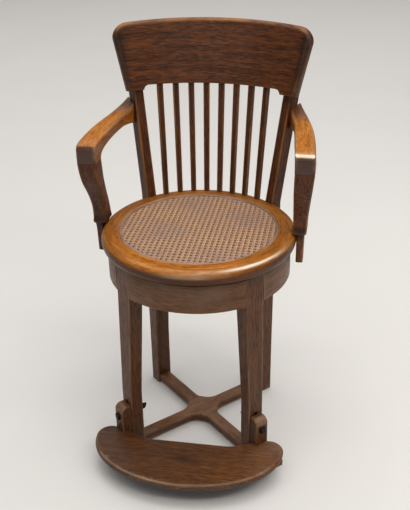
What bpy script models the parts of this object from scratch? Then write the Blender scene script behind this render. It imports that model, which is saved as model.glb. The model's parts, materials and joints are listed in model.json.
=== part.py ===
# Oak revolving barber chair: cane seat, slatted back, four-leg base and a clamped footrest.
# Metres, +Z up. The front is -Y, left is -X as seen from the front, and the chair stands on z = 0.

import math

import bmesh
import bpy
from mathutils import Matrix, Vector

# Fits
GAP = 0.0003
QUARTER_TURN = math.pi / 2
EDGE_LIMIT = 0.45

# Seat ring and cane
SEAT_HEIGHT = 0.457
RING_RADIUS = 0.1905
RING_THICKNESS = 0.030
RING_BORDER = 0.0345
RING_TOP_ROUND = 0.0125
RING_UNDER_ROUND = 0.008
CANE_BEARING = 0.0029
CANE_THICKNESS = 0.0018
CANE_PITCH = 0.025
CANE_STRAND = 0.008
SPLINE_WIDTH = 0.0045
SPLINE_HEIGHT = 0.0034
SPLINE_EDGE = 0.0011
SWIVEL_GAP = 0.003

# Base: apron, legs, stretchers and bearers
APRON_SETBACK = 0.0105
APRON_HEIGHT = 0.058
APRON_THICKNESS = 0.020
APRON_TENON_SHOULDER = 0.005
LEG_TOP_WIDTH = 0.041
LEG_TOP_DEPTH = 0.032
LEG_FOOT_WIDTH = 0.034
LEG_FOOT_DEPTH = 0.027
LEG_EDGE = 0.0025
FRONT_SPLAY = 0.008
BACK_SPLAY = 0.001
STRETCHER_BOTTOM = 0.003
STRETCHER_THICKNESS = 0.018
STRETCHER_WIDTH = 0.028
STRETCHER_FILLET = 0.032
STRETCHER_EDGE = 0.005
BEARER_DROP = 0.020
BEARER_HEIGHT = 0.026
BEARER_WIDTH = 0.044
TENON_LENGTH = 0.010
TENON_SHOULDER = 0.004
TENON_EDGE = 0.001

# Swivel ironwork
SPINDLE_RADIUS = 0.008
SPINDLE_HEAD_LIP = 0.005
SPINDLE_HEAD_HEIGHT = 0.004
SPINDLE_END = 0.003
SOCKET_WALL = 0.0077
FLANGE_LIP = 0.030
FLANGE_THICKNESS = 0.005
FLANGE_SCREW_OFFSET = 0.018
WASHER_THICKNESS = 0.002
THRUST_WASHER_LIP = 0.012
SPINDLE_WASHER_LIP = 0.003
NUT_WALL = 0.0065
NUT_HEIGHT = 0.010
HUB_WALL = 0.014
SPIDER_WIDTH = 0.024
SPIDER_THICKNESS = 0.005
SPIDER_SETBACK = 0.0095
SPIDER_SCREW_INSET = 0.014

# Back posts: each foot is centred on the ring's edge, at an angle from straight back
POST_WIDTH = 0.022
POST_DEPTH = 0.025
POST_EDGE = 0.0025
POST_FOOT_ANGLE = math.radians(43.5)
POST_TURN = math.radians(45)
POST_SPREAD = math.radians(7.238)
POST_RAKE = math.radians(11.034)
POST_TOP_DROP = 0.034

# Crest rail: heights above the seat, and a lower and an upper arc
RAIL_EAR_RISE = 0.218
RAIL_ARCH_STEP = 0.009
RAIL_HEIGHT = 0.134
RAIL_CROWN = 0.006
RAIL_THICKNESS = 0.022
RAIL_FOOT_RADIUS = 0.325
RAIL_TOP_RADIUS = 0.440
RAIL_POST_OFFSET = 0.0319
RAIL_RAKE = 0.018
RAIL_EAR_OVERHANG = 0.0063
RAIL_EAR_WIDTH = 0.039
RAIL_FLARE = 0.025
RAIL_CORNER = 0.024
RAIL_TOP_EDGE = 0.008
RAIL_FOOT_EDGE = 0.002
RAIL_END_EDGE = 0.006

# Slats: spread evenly between margins at the two posts
SLAT_COUNT = 8
SLAT_SEAT_MARGIN = 0.0345
SLAT_RAIL_MARGIN = 0.050
SLAT_SEAT_INSET = 0.013
SLAT_SEAT_WIDTH = 0.011
SLAT_RAIL_WIDTH = 0.0125
SLAT_THICKNESS = 0.009
SLAT_EDGE = 0.0015
SLAT_SEAT_TENON = 0.009
SLAT_RAIL_TENON = 0.012

# Arms, as (lower y, lower rise, upper y, upper rise, inner x, outer x), with each rise above the seat:
# the rear rows are measured from the post's axis, the front rows from the ring's edge beside the swivel
ARM_RISE = 0.173
ARM_REAR_ROWS = (
    (0.020, 0.141, 0.028, 0.203, -0.003, 0.019),
    (-0.006, 0.147, 0.000, 0.190, 0.005, 0.031),
    (-0.026, 0.151, -0.026, 0.182, 0.011, 0.042),
    (-0.054, 0.154, -0.054, 0.1785, 0.017, 0.050),
)
SEAM_RISE = 0.135
ARM_FRONT_ROWS = (
    (0.078, 0.155, 0.078, 0.178, -0.0165, 0.0200),
    (0.040, 0.154, 0.035, 0.1775, -0.0133, 0.0252),
    (0.014, 0.150, -0.004, 0.176, -0.0100, 0.0285),
    (0.004, 0.146, -0.034, 0.1725, -0.0078, 0.0303),
    (0.0005, 0.143, -0.0435, 0.167, -0.0068, 0.0308),
    (-0.002, 0.140, -0.0455, 0.157, -0.0063, 0.0310),
    (-0.004, SEAM_RISE, -0.045, SEAM_RISE, -0.0058, 0.0310),
)
ARM_EDGE = 0.0045

# Arm supports down from the seam, as (rise above the seat, front y, back y, inner x, outer x from the edge)
TANG_DROP = 0.061
SUPPORT_ROWS = (
    (SEAM_RISE - GAP, -0.045, -0.004, -0.0058, 0.0310),
    (0.117, -0.0435, -0.003, -0.0062, 0.0295),
    (0.093, -0.037, 0.000, -0.0068, 0.0270),
    (0.063, -0.019, 0.009, -0.0074, 0.0238),
    (0.035, -0.009, 0.021, -0.0075, 0.0209),
    (0.013, -0.009, 0.029, -0.007, 0.0195),
    (0.002, -0.013, 0.032, -0.0075, 0.019),
    (-0.007, -0.010, 0.028, -0.0075, 0.015),
    (-TANG_DROP, -0.008, 0.022, -0.0075, 0.014),
)
SUPPORT_EDGE = 0.004

# Footrest: the board's outline is measured from the middle of the front legs' outer faces
FOOTREST_TOP = 0.053
FOOTREST_THICKNESS = 0.015
FOOTREST_EDGE = 0.006
FOOTREST_SETOFF = 0.031
FOOTREST_OVERHANG = 0.060
FOOTREST_DEPTH = 0.130
FOOTREST_WRAP = 0.029
FOOTREST_WRAP_LENGTH = 0.088
FOOTREST_CORNER = 0.029
FOOTREST_TRAVEL = 0.028
BRACKET_WIDTH = 0.028
BRACKET_DEPTH = 0.021
BRACKET_RISE = 0.059
BRACKET_ROUND = 0.013
CLEAT_THICKNESS = 0.013
CLEAT_LENGTH = 0.071
CLEAT_SCREW_INSET = 0.022

# Clamp bolts
BOLT_RISE = 0.035
BOLT_RADIUS = 0.0035
BOLT_HEAD_HALF = 0.006
BOLT_HEAD_HEIGHT = 0.005
BOLT_HEAD_EDGE = 0.001
BOLT_HEAD_CHAMFER = 0.0012
BOLT_END = 0.003
CLAMP_WASHER_LIP = 0.0052
CLAMP_WASHER_THICKNESS = 0.0015
WING_BOSS_WALL = 0.003
WING_BOSS_TAPER = 0.001
WING_BOSS_HEIGHT = 0.010
WING_REACH = 0.012
WING_LENGTH = 0.011
WING_ROUND = 0.005
WING_THICKNESS = 0.0035
WING_SWEEP = 0.0075
WING_REST_TURN = math.radians(35)

# Wood screws
SCREW_HEAD_RADIUS = 0.004
SCREW_SHANK_RADIUS = 0.002
SCREW_HEAD_HEIGHT = 0.0022
SCREW_TIP_RADIUS = 0.0006
SCREW_TIP_LENGTH = 0.004
SPIDER_SCREW_LENGTH = 0.013
FLANGE_SCREW_LENGTH = 0.018
TANG_SCREW_LENGTH = 0.026
CLEAT_SCREW_LENGTH = 0.020

# Resolution
RING_SEGMENTS = 60
ROUND_SIDES = 16
SCREW_SIDES = 8
HEX_SIDES = 6
ARC_STEPS = 4
CORNER_STEPS = 2
ROW_STEPS = 2
APRON_STEPS = 16
RAIL_STEPS = 5
FOOTREST_STEPS = 24
SWEEP_STEPS = 6

# Seat and base heights and radii that follow from the sizes above
SPINDLE_BORE = SPINDLE_RADIUS + GAP
RING_BOTTOM = SEAT_HEIGHT - RING_THICKNESS
RING_MIDDLE = SEAT_HEIGHT - RING_THICKNESS / 2
CANE_RADIUS = RING_RADIUS - RING_BORDER
CANE_LEDGE = SPLINE_WIDTH + CANE_BEARING + 2 * GAP
LEDGE_HEIGHT = SEAT_HEIGHT - SPLINE_HEIGHT - 2 * GAP
APRON_RADIUS = RING_RADIUS - APRON_SETBACK
APRON_TOP = RING_BOTTOM - SWIVEL_GAP
APRON_BOTTOM = APRON_TOP - APRON_HEIGHT
LEG_FACE = math.sqrt(APRON_RADIUS ** 2 - (LEG_TOP_WIDTH / 2) ** 2)
FRONT_FACE = LEG_FACE + FRONT_SPLAY
BACK_FACE = LEG_FACE + BACK_SPLAY
STRETCHER_TOP = STRETCHER_BOTTOM + STRETCHER_THICKNESS
STRETCHER_WAIST = STRETCHER_WIDTH / 2 + STRETCHER_FILLET * (1 - math.sqrt(0.5))
BEARER_TOP = APRON_TOP - BEARER_DROP
BEARER_BOTTOM = BEARER_TOP - BEARER_HEIGHT

# Swivel stack, from the bearers up to the seat and down to the nut
SOCKET_RADIUS = SPINDLE_BORE + SOCKET_WALL
FLANGE_RADIUS = SOCKET_RADIUS + FLANGE_LIP
FLANGE_SCREW_CIRCLE = SOCKET_RADIUS + FLANGE_SCREW_OFFSET
FLANGE_BOTTOM = BEARER_TOP + GAP
FLANGE_TOP = FLANGE_BOTTOM + FLANGE_THICKNESS
THRUST_BOTTOM = FLANGE_TOP + GAP
HUB_BOTTOM = THRUST_BOTTOM + WASHER_THICKNESS + GAP
HUB_RADIUS = SPINDLE_RADIUS + HUB_WALL
SPIDER_TOP = RING_BOTTOM + SPIDER_THICKNESS
SPIDER_REACH = RING_RADIUS - SPIDER_SETBACK
SPIDER_SCREW_CIRCLE = SPIDER_REACH - SPIDER_SCREW_INSET
SPINDLE_WASHER_BOTTOM = BEARER_BOTTOM - GAP - WASHER_THICKNESS
NUT_BOTTOM = SPINDLE_WASHER_BOTTOM - GAP - NUT_HEIGHT

# Back
POST_LEAN_X = math.tan(POST_SPREAD)
POST_LEAN_Y = math.tan(POST_RAKE)
POST_FOOT_X = RING_RADIUS * math.sin(POST_FOOT_ANGLE)
POST_FOOT_Y = RING_RADIUS * math.cos(POST_FOOT_ANGLE)
EAR_POST_X = POST_FOOT_X + POST_LEAN_X * RAIL_EAR_RISE
EAR_POST_Y = POST_FOOT_Y + POST_LEAN_Y * RAIL_EAR_RISE
RAIL_EAR_HEIGHT = SEAT_HEIGHT + RAIL_EAR_RISE
RAIL_ARCH_HEIGHT = RAIL_EAR_HEIGHT + RAIL_ARCH_STEP
RAIL_TOP_HEIGHT = RAIL_EAR_HEIGHT + RAIL_HEIGHT
RAIL_FOOT_HALF_WIDTH = EAR_POST_X + RAIL_EAR_OVERHANG
RAIL_TOP_HALF_WIDTH = RAIL_FOOT_HALF_WIDTH + RAIL_FLARE
RAIL_ARCH_HALF_WIDTH = RAIL_FOOT_HALF_WIDTH - RAIL_EAR_WIDTH
RAIL_BOW = RAIL_FOOT_RADIUS - math.sqrt(RAIL_FOOT_RADIUS ** 2 - EAR_POST_X ** 2)
RAIL_FOOT_Y = EAR_POST_Y - RAIL_POST_OFFSET + RAIL_BOW
RAIL_TOP_Y = RAIL_FOOT_Y + RAIL_RAKE
POST_TOP = RAIL_TOP_HEIGHT - POST_TOP_DROP
SLAT_SEAT_CIRCLE = RING_RADIUS - SLAT_SEAT_INSET
SLAT_SEAT_SPACING = 2 * (POST_FOOT_X - SLAT_SEAT_MARGIN) / (SLAT_COUNT - 1)
SLAT_RAIL_SPACING = 2 * (EAR_POST_X - SLAT_RAIL_MARGIN) / (SLAT_COUNT - 1)

# Footrest and its clamps
FOOTREST_BOTTOM = FOOTREST_TOP - FOOTREST_THICKNESS
FRONT_LEG_PLACE = FRONT_FACE * math.sqrt(0.5)
FOOTREST_REAR = FRONT_LEG_PLACE + FOOTREST_SETOFF
FOOTREST_HALF_WIDTH = FRONT_LEG_PLACE + FOOTREST_OVERHANG
FOOTREST_WRAP_END = FOOTREST_HALF_WIDTH - FOOTREST_CORNER
FOOTREST_WRAP_START = FOOTREST_WRAP_END - FOOTREST_WRAP_LENGTH
BRACKET_FACE = FRONT_FACE + GAP
BRACKET_FRONT = BRACKET_FACE + BRACKET_DEPTH
BRACKET_TOP = FOOTREST_TOP + BRACKET_RISE
FOOT_STRAIGHT = BRACKET_TOP + FOOTREST_TRAVEL
CLEAT_TOP = FOOTREST_BOTTOM - GAP
CLEAT_BOTTOM = CLEAT_TOP - CLEAT_THICKNESS
CLEAT_REACH = BRACKET_FACE + CLEAT_LENGTH
CLEAT_SCREW_RADIUS = CLEAT_REACH - CLEAT_SCREW_INSET
BOLT_HEIGHT = FOOTREST_TOP + BOLT_RISE
BOLT_BORE = BOLT_RADIUS + GAP
CLAMP_FACE = FRONT_FACE - LEG_FOOT_DEPTH - GAP
WING_FACE = CLAMP_FACE - CLAMP_WASHER_THICKNESS - GAP
WING_BOSS_RADIUS = BOLT_BORE + WING_BOSS_WALL

# Finishes: colour, roughness and metallic
GOLDEN_OAK = ((0.33, 0.135, 0.035), 0.35, 0.0)
BROWN_OAK = ((0.13, 0.055, 0.022), 0.40, 0.0)
HIDDEN_OAK = ((0.30, 0.17, 0.08), 0.65, 0.0)
CANE = ((0.42, 0.27, 0.15), 0.55, 0.0)
IRON = ((0.030, 0.028, 0.027), 0.50, 0.9)
STEEL = ((0.30, 0.29, 0.28), 0.40, 1.0)

LEG_ANGLES = {
    "front_left": math.radians(225),
    "front_right": math.radians(315),
    "back_left": math.radians(135),
    "back_right": math.radians(45),
}
SIDES = {"left": -1, "right": 1}
CROSS = ((1, 0), (-1, 0), (0, 1), (0, -1))
IDENTITY = Matrix.Identity(4)


# Curves and outlines

def lerp(start, end, share):
    return start + (end - start) * share


def smooth_rows(knots, steps):
    # rows of numbers on a smooth curve through the knots
    rows = []
    last = len(knots) - 1
    for index in range(last):
        before = knots[max(index - 1, 0)]
        after = knots[min(index + 2, last)]
        for step in range(steps):
            t = step / steps
            rows.append(tuple(
                0.5 * (2 * b + (c - a) * t + (2 * a - 5 * b + 4 * c - d) * t ** 2
                       + (3 * b - a - 3 * c + d) * t ** 3)
                for a, b, c, d in zip(before, knots[index], knots[index + 1], after)))
    rows.append(knots[-1])
    return rows


def round_rectangle(half_width, half_height, radius, steps=CORNER_STEPS):
    # outline from the lower right corner, counter-clockwise
    outline = []
    for index, (side, level) in enumerate(((1, -1), (1, 1), (-1, 1), (-1, -1))):
        for step in range(steps + 1):
            angle = QUARTER_TURN * (index - 1 + step / steps)
            outline.append((side * (half_width - radius) + radius * math.cos(angle),
                            level * (half_height - radius) + radius * math.sin(angle)))
    return outline


def circle(radius, sides, start=0.0):
    turns = [start + 2 * math.pi * index / sides for index in range(sides)]
    return [(radius * math.cos(turn), radius * math.sin(turn)) for turn in turns]


def quarter_arc(centre, radii, first, steps=ARC_STEPS):
    # quarter of an ellipse that starts at the angle first, counter-clockwise
    angles = [first + QUARTER_TURN * step / steps for step in range(steps + 1)]
    return [(centre[0] + radii[0] * math.cos(a), centre[1] + radii[1] * math.sin(a)) for a in angles]


def offset_outline(outline, distance):
    # a closed counter-clockwise outline moved inwards by distance
    moved = []
    for index, point in enumerate(outline):
        before = Vector(outline[index - 1])
        after = Vector(outline[(index + 1) % len(outline)])
        along = (after - before).normalized()
        moved.append((point[0] - along.y * distance, point[1] + along.x * distance))
    return moved


# Solids

def add_loft(bm, loops, matrix=IDENTITY, closed=False):
    # a skin over loops of equally many points, with end caps unless it closes on itself;
    # its four-sided patches are split the same way each time, so that a grown copy stays clear
    rings = [[bm.verts.new(matrix @ Vector(point)) for point in loop] for loop in loops]
    pairs = list(zip(rings, rings[1:]))
    if closed:
        pairs.append((rings[-1], rings[0]))
    for lower, upper in pairs:
        for index in range(len(lower)):
            after = (index + 1) % len(lower)
            bm.faces.new((lower[index], lower[after], upper[after]))
            bm.faces.new((lower[index], upper[after], upper[index]))
    if not closed:
        bm.faces.new(reversed(rings[0]))
        bm.faces.new(rings[-1])


def add_turned(bm, profile, sides, matrix=IDENTITY):
    # a solid rod or disc: rows of (radius, height) along Z
    loops = [[(x, y, height) for x, y in circle(radius, sides)] for radius, height in profile]
    add_loft(bm, loops, matrix)


def add_hollow(bm, profile, sides, matrix=IDENTITY):
    # a ring: a closed outline of (radius, height) swept round Z
    loops = []
    for cosine, sine in circle(1.0, sides):
        loops.append([(radius * cosine, radius * sine, height) for radius, height in profile])
    add_loft(bm, loops, matrix, closed=True)


def add_box(bm, low, high, matrix=IDENTITY):
    base = [(low[0], low[1]), (high[0], low[1]), (high[0], high[1]), (low[0], high[1])]
    add_loft(bm, [[(x, y, z) for x, y in base] for z in (low[2], high[2])], matrix)


def square_profile(inner, outer, bottom, top):
    return [(inner, bottom), (outer, bottom), (outer, top), (inner, top)]


def aim(place, direction):
    # a frame at place whose Z axis points along direction
    turn = Vector(direction).to_track_quat("Z", "Y")
    return Matrix.Translation(place) @ turn.to_matrix().to_4x4()


def screw_profile(length, grow=0.0, lead=0.0):
    rows = [
        (SCREW_HEAD_RADIUS + grow, 0.0),
        (SCREW_SHANK_RADIUS + grow, SCREW_HEAD_HEIGHT),
        (SCREW_SHANK_RADIUS + grow, length - SCREW_TIP_LENGTH + grow),
        (SCREW_TIP_RADIUS + grow, length + grow),
    ]
    if lead:
        rows.insert(0, (SCREW_HEAD_RADIUS + grow, -lead))
    return rows


def add_screw_holes(bm, frames, length):
    for frame in frames:
        add_turned(bm, screw_profile(length, GAP, SCREW_HEAD_RADIUS), SCREW_SIDES, frame)


# Objects

def clear_scene():
    for item in list(bpy.data.objects):
        bpy.data.objects.remove(item)


def finish_material(name, finish):
    colour, roughness, metallic = finish
    made = bpy.data.materials.new(name)
    made.use_nodes = True
    shader = made.node_tree.nodes["Principled BSDF"]
    shader.inputs["Base Color"].default_value = (*colour, 1.0)
    shader.inputs["Roughness"].default_value = roughness
    shader.inputs["Metallic"].default_value = metallic
    return made


def place_object(bm, name, parent, location=(0, 0, 0), turn=0.0):
    bmesh.ops.recalc_face_normals(bm, faces=bm.faces)
    mesh = bpy.data.meshes.new(name)
    bm.to_mesh(mesh)
    bm.free()
    placed = bpy.data.objects.new(name, mesh)
    bpy.context.scene.collection.objects.link(placed)
    placed.parent = parent
    placed.location = location
    placed.rotation_euler = (0, 0, turn)
    return placed


def make_piece(bm, name, finish, parent, location=(0, 0, 0), turn=0.0):
    piece = place_object(bm, name, parent, location, turn)
    piece.data.materials.append(finish_material(name + "_finish", finish))
    piece.data.shade_smooth()
    piece.data.set_sharp_from_angle(angle=math.radians(35))
    return piece


def shape_with(piece, bm, operation):
    # a hidden tool in the piece's own frame that is cut from it or joined to it
    tool = place_object(bm, piece.name + "_tool", piece.parent, piece.location, piece.rotation_euler.z)
    tool.hide_render = True
    tool.display_type = "WIRE"
    change = piece.modifiers.new(operation.lower(), "BOOLEAN")
    change.operation = operation
    change.solver = "EXACT"
    change.object = tool


def cut(piece, bm):
    shape_with(piece, bm, "DIFFERENCE")


def join(piece, bm):
    shape_with(piece, bm, "UNION")


def make_screw(name, frame, length, parent, turn=0.0):
    bm = bmesh.new()
    add_turned(bm, screw_profile(length), SCREW_SIDES, frame)
    make_piece(bm, name, STEEL, parent, turn=turn)


def make_screws(name, frames, length, parent, turn=0.0):
    for index, frame in enumerate(frames):
        make_screw("%s_%d" % (name, index + 1), frame, length, parent, turn)


def make_empty(name, location):
    empty = bpy.data.objects.new(name, None)
    bpy.context.scene.collection.objects.link(empty)
    empty.location = location
    return empty


# Base

def leg_rows(face):
    # rows of (height, outer face radius, depth, width) from the foot up
    return (
        (0.0, face, LEG_FOOT_DEPTH, LEG_FOOT_WIDTH),
        (FOOT_STRAIGHT, face, LEG_FOOT_DEPTH, LEG_FOOT_WIDTH),
        (APRON_BOTTOM, LEG_FACE, LEG_TOP_DEPTH, LEG_TOP_WIDTH),
        (APRON_TOP, LEG_FACE, LEG_TOP_DEPTH, LEG_TOP_WIDTH),
    )


def apron_tenon(grow=0.0):
    # radial and height limits of the tenon at each end of an apron segment
    inner = APRON_RADIUS - APRON_THICKNESS + APRON_TENON_SHOULDER - grow
    outer = APRON_RADIUS - APRON_TENON_SHOULDER + grow
    bottom = APRON_BOTTOM + APRON_TENON_SHOULDER - grow
    top = APRON_TOP - APRON_TENON_SHOULDER + grow
    return inner, outer, bottom, top


def bar_tenon(width, bottom, top, grow=0.0):
    # half width and height limits of the tenon on a bearer or a stretcher
    return (width / 2 - TENON_SHOULDER + grow,
            bottom + TENON_SHOULDER - grow,
            top - TENON_SHOULDER + grow)


def make_legs(parent):
    for name, angle in LEG_ANGLES.items():
        front = name.startswith("front")
        face = FRONT_FACE if front else BACK_FACE
        loops = []
        for height, outer, depth, width in leg_rows(face):
            middle = outer - depth / 2
            outline = round_rectangle(depth / 2, width / 2, LEG_EDGE)
            loops.append([(middle + x, y, height) for x, y in outline])
        bm = bmesh.new()
        add_loft(bm, loops)
        leg = make_piece(bm, "leg_" + name, BROWN_OAK, parent, turn=angle)
        cut(leg, leg_mortises(face))
        if front:
            cut(leg, leg_slot(face))


def leg_mortises(face):
    bm = bmesh.new()
    beyond = LEG_TOP_WIDTH
    depth = TENON_LENGTH + 2 * GAP
    inner, outer, bottom, top = apron_tenon(GAP)
    for side in (-1, 1):
        across = sorted((side * (LEG_TOP_WIDTH / 2 - depth), side * beyond))
        add_box(bm, (inner, across[0], bottom), (outer, across[1], top))
    bars = (
        (BEARER_WIDTH, BEARER_BOTTOM, BEARER_TOP, LEG_FACE - LEG_TOP_DEPTH),
        (STRETCHER_WIDTH, STRETCHER_BOTTOM, STRETCHER_TOP, face - LEG_FOOT_DEPTH),
    )
    for width, low, high, seat in bars:
        half, bottom, top = bar_tenon(width, low, high, GAP)
        add_box(bm, (seat - beyond, -half, bottom), (seat + depth, half, top))
    return bm


def leg_slot(face):
    # upright slot for the clamp bolt, with round ends
    outline = []
    for height, first in ((BOLT_HEIGHT + FOOTREST_TRAVEL, 0.0), (BOLT_HEIGHT, math.pi)):
        for step in range(ROUND_SIDES // 2 + 1):
            angle = first + 2 * math.pi * step / ROUND_SIDES
            outline.append((BOLT_BORE * math.cos(angle), height + BOLT_BORE * math.sin(angle)))
    ends = (face - 2 * LEG_FOOT_DEPTH, face + LEG_FOOT_DEPTH)
    bm = bmesh.new()
    add_loft(bm, [[(x, y, z) for y, z in outline] for x in ends])
    return bm


def make_apron(parent):
    outer = APRON_RADIUS
    inner = APRON_RADIUS - APRON_THICKNESS
    half_leg = LEG_TOP_WIDTH / 2 + GAP
    reach = {radius: math.pi / 4 - math.asin(half_leg / radius) for radius in (outer, inner)}
    body = []
    for step in range(APRON_STEPS + 1):
        share = 2 * step / APRON_STEPS - 1
        corners = ((outer, APRON_BOTTOM), (outer, APRON_TOP), (inner, APRON_TOP), (inner, APRON_BOTTOM))
        loop = []
        for radius, height in corners:
            angle = share * reach[radius]
            loop.append((radius * math.cos(angle), radius * math.sin(angle), height))
        body.append(loop)
    tenon_inner, tenon_outer, bottom, top = apron_tenon()
    tenons = {}
    for side in (-1, 1):
        leg_turn = Matrix.Rotation(side * math.pi / 4, 4, "Z")
        tenons[side] = []
        for across in (half_leg, half_leg - GAP - TENON_LENGTH):
            corners = ((tenon_outer, bottom), (tenon_outer, top), (tenon_inner, top), (tenon_inner, bottom))
            tenons[side].append([leg_turn @ Vector((radius, -side * across, height))
                                 for radius, height in corners])
    loops = [*reversed(tenons[-1]), *body, *tenons[1]]
    for index, name in enumerate(("right", "back", "left", "front")):
        bm = bmesh.new()
        add_loft(bm, loops)
        make_piece(bm, "apron_" + name, BROWN_OAK, parent, turn=index * QUARTER_TURN)


def bar_loops(stations, outline_at, width, bottom, top):
    # a bar along X: its body, and a stub tenon past each end
    half, tenon_bottom, tenon_top = bar_tenon(width, bottom, top)
    points = len(outline_at(stations[0]))
    tenon = round_rectangle(half, (tenon_top - tenon_bottom) / 2, TENON_EDGE, points // 4 - 1)
    middle = (tenon_top + tenon_bottom) / 2
    loops = [[(x, y, z) for y, z in outline_at(x)] for x in stations]
    for end, along in ((stations[0], -1), (stations[-1], 1)):
        stub = []
        for x in (end, end + along * TENON_LENGTH):
            stub.append([(x, y, middle + z) for y, z in tenon])
        if along < 0:
            loops = [*reversed(stub), *loops]
        else:
            loops = [*loops, *stub]
    return loops


def half_lap(half_size, bottom, top, upper):
    # the half of a crossing that the other bar takes up
    middle = (bottom + top) / 2
    margin = top - bottom
    bm = bmesh.new()
    low = bottom - margin if upper else middle - GAP / 2
    high = middle + GAP / 2 if upper else top + margin
    side = half_size + GAP
    add_box(bm, (-side, -side * 2, low), (side, side * 2, high))
    return bm


def make_bearers(parent):
    reach = LEG_FACE - LEG_TOP_DEPTH - GAP
    middle = (BEARER_TOP + BEARER_BOTTOM) / 2
    outline = [(y, middle + z) for y, z in
               round_rectangle(BEARER_WIDTH / 2, BEARER_HEIGHT / 2, LEG_EDGE, 1)]
    for name, angle in (("lower", math.radians(45)), ("upper", math.radians(135))):
        bm = bmesh.new()
        add_loft(bm, bar_loops((-reach, reach), lambda x: outline,
                               BEARER_WIDTH, BEARER_BOTTOM, BEARER_TOP))
        bearer = make_piece(bm, "bearer_" + name, HIDDEN_OAK, parent, turn=angle)
        cut(bearer, half_lap(BEARER_WIDTH / 2, BEARER_BOTTOM, BEARER_TOP, name == "upper"))
        holes = bmesh.new()
        margin = BEARER_HEIGHT / 2
        add_turned(holes, [(SOCKET_RADIUS + GAP, BEARER_BOTTOM - margin),
                           (SOCKET_RADIUS + GAP, BEARER_TOP + margin)], ROUND_SIDES)
        add_screw_holes(holes, flange_screw_frames()[:2], FLANGE_SCREW_LENGTH)
        cut(bearer, holes)


def flange_screw_frames():
    return [aim((FLANGE_SCREW_CIRCLE * x, FLANGE_SCREW_CIRCLE * y, FLANGE_TOP), (0, 0, -1))
            for x, y in CROSS]


def stretcher_half_width(along):
    # the sides sweep out in fillets towards the crossing
    straight = STRETCHER_WIDTH / 2 + STRETCHER_FILLET
    rest = straight - max(abs(along), STRETCHER_WAIST)
    if rest <= 0:
        return STRETCHER_WIDTH / 2
    return straight - math.sqrt(STRETCHER_FILLET ** 2 - rest ** 2)


def make_stretchers(parent):
    front = FRONT_FACE - LEG_FOOT_DEPTH - GAP
    back = BACK_FACE - LEG_FOOT_DEPTH - GAP
    straight = STRETCHER_WIDTH / 2 + STRETCHER_FILLET
    fillet = [lerp(STRETCHER_WAIST, straight, step / ARC_STEPS) for step in range(ARC_STEPS + 1)]
    stations = [-front, *(-x for x in reversed(fillet)), *fillet, back]
    middle = (STRETCHER_TOP + STRETCHER_BOTTOM) / 2

    def outline(along):
        half = stretcher_half_width(along)
        rows = round_rectangle(half, STRETCHER_THICKNESS / 2, STRETCHER_EDGE)
        return [(y, middle + z) for y, z in rows]

    for name, angle in (("lower", LEG_ANGLES["back_right"]), ("upper", LEG_ANGLES["back_left"])):
        bm = bmesh.new()
        add_loft(bm, bar_loops(stations, outline, STRETCHER_WIDTH, STRETCHER_BOTTOM, STRETCHER_TOP))
        stretcher = make_piece(bm, "stretcher_" + name, BROWN_OAK, parent, turn=angle)
        cut(stretcher, half_lap(STRETCHER_WAIST, STRETCHER_BOTTOM, STRETCHER_TOP, name == "upper"))


def make_socket(parent):
    bm = bmesh.new()
    add_hollow(bm, [(SPINDLE_BORE, BEARER_BOTTOM), (SOCKET_RADIUS, BEARER_BOTTOM),
                    (SOCKET_RADIUS, FLANGE_BOTTOM), (FLANGE_RADIUS, FLANGE_BOTTOM),
                    (FLANGE_RADIUS, FLANGE_TOP), (SPINDLE_BORE, FLANGE_TOP)], ROUND_SIDES)
    turn = math.pi / 4
    socket = make_piece(bm, "swivel_socket", IRON, parent, turn=turn)
    holes = bmesh.new()
    add_screw_holes(holes, flange_screw_frames(), FLANGE_SCREW_LENGTH)
    cut(socket, holes)
    make_screws("socket_screw", flange_screw_frames(), FLANGE_SCREW_LENGTH, parent, turn)
    bm = bmesh.new()
    add_hollow(bm, square_profile(SPINDLE_BORE, SPINDLE_RADIUS + THRUST_WASHER_LIP, THRUST_BOTTOM,
                                  THRUST_BOTTOM + WASHER_THICKNESS), ROUND_SIDES)
    make_piece(bm, "thrust_washer", STEEL, parent)


# Swivelling seat

def make_spindle(parent):
    head_bottom = SPIDER_TOP + GAP
    head_radius = SPINDLE_RADIUS + SPINDLE_HEAD_LIP
    bm = bmesh.new()
    add_turned(bm, [(SPINDLE_RADIUS, NUT_BOTTOM - SPINDLE_END), (SPINDLE_RADIUS, head_bottom),
                    (head_radius, head_bottom), (head_radius, head_bottom + SPINDLE_HEAD_HEIGHT)],
               ROUND_SIDES)
    make_piece(bm, "spindle", STEEL, parent)
    bm = bmesh.new()
    add_hollow(bm, square_profile(SPINDLE_BORE, SOCKET_RADIUS + SPINDLE_WASHER_LIP, SPINDLE_WASHER_BOTTOM,
                                  SPINDLE_WASHER_BOTTOM + WASHER_THICKNESS), ROUND_SIDES)
    make_piece(bm, "spindle_washer", STEEL, parent)
    nut_radius = SPINDLE_RADIUS + NUT_WALL
    bm = bmesh.new()
    add_turned(bm, [(nut_radius, NUT_BOTTOM), (nut_radius, NUT_BOTTOM + NUT_HEIGHT)], HEX_SIDES)
    nut = make_piece(bm, "spindle_nut", STEEL, parent)
    hole = bmesh.new()
    add_turned(hole, [(SPINDLE_BORE, NUT_BOTTOM - NUT_HEIGHT), (SPINDLE_BORE, NUT_BOTTOM + 2 * NUT_HEIGHT)],
               ROUND_SIDES)
    cut(nut, hole)


def spider_screw_frames():
    return [aim((SPIDER_SCREW_CIRCLE * x, SPIDER_SCREW_CIRCLE * y, RING_BOTTOM), (0, 0, 1))
            for x, y in CROSS]


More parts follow.
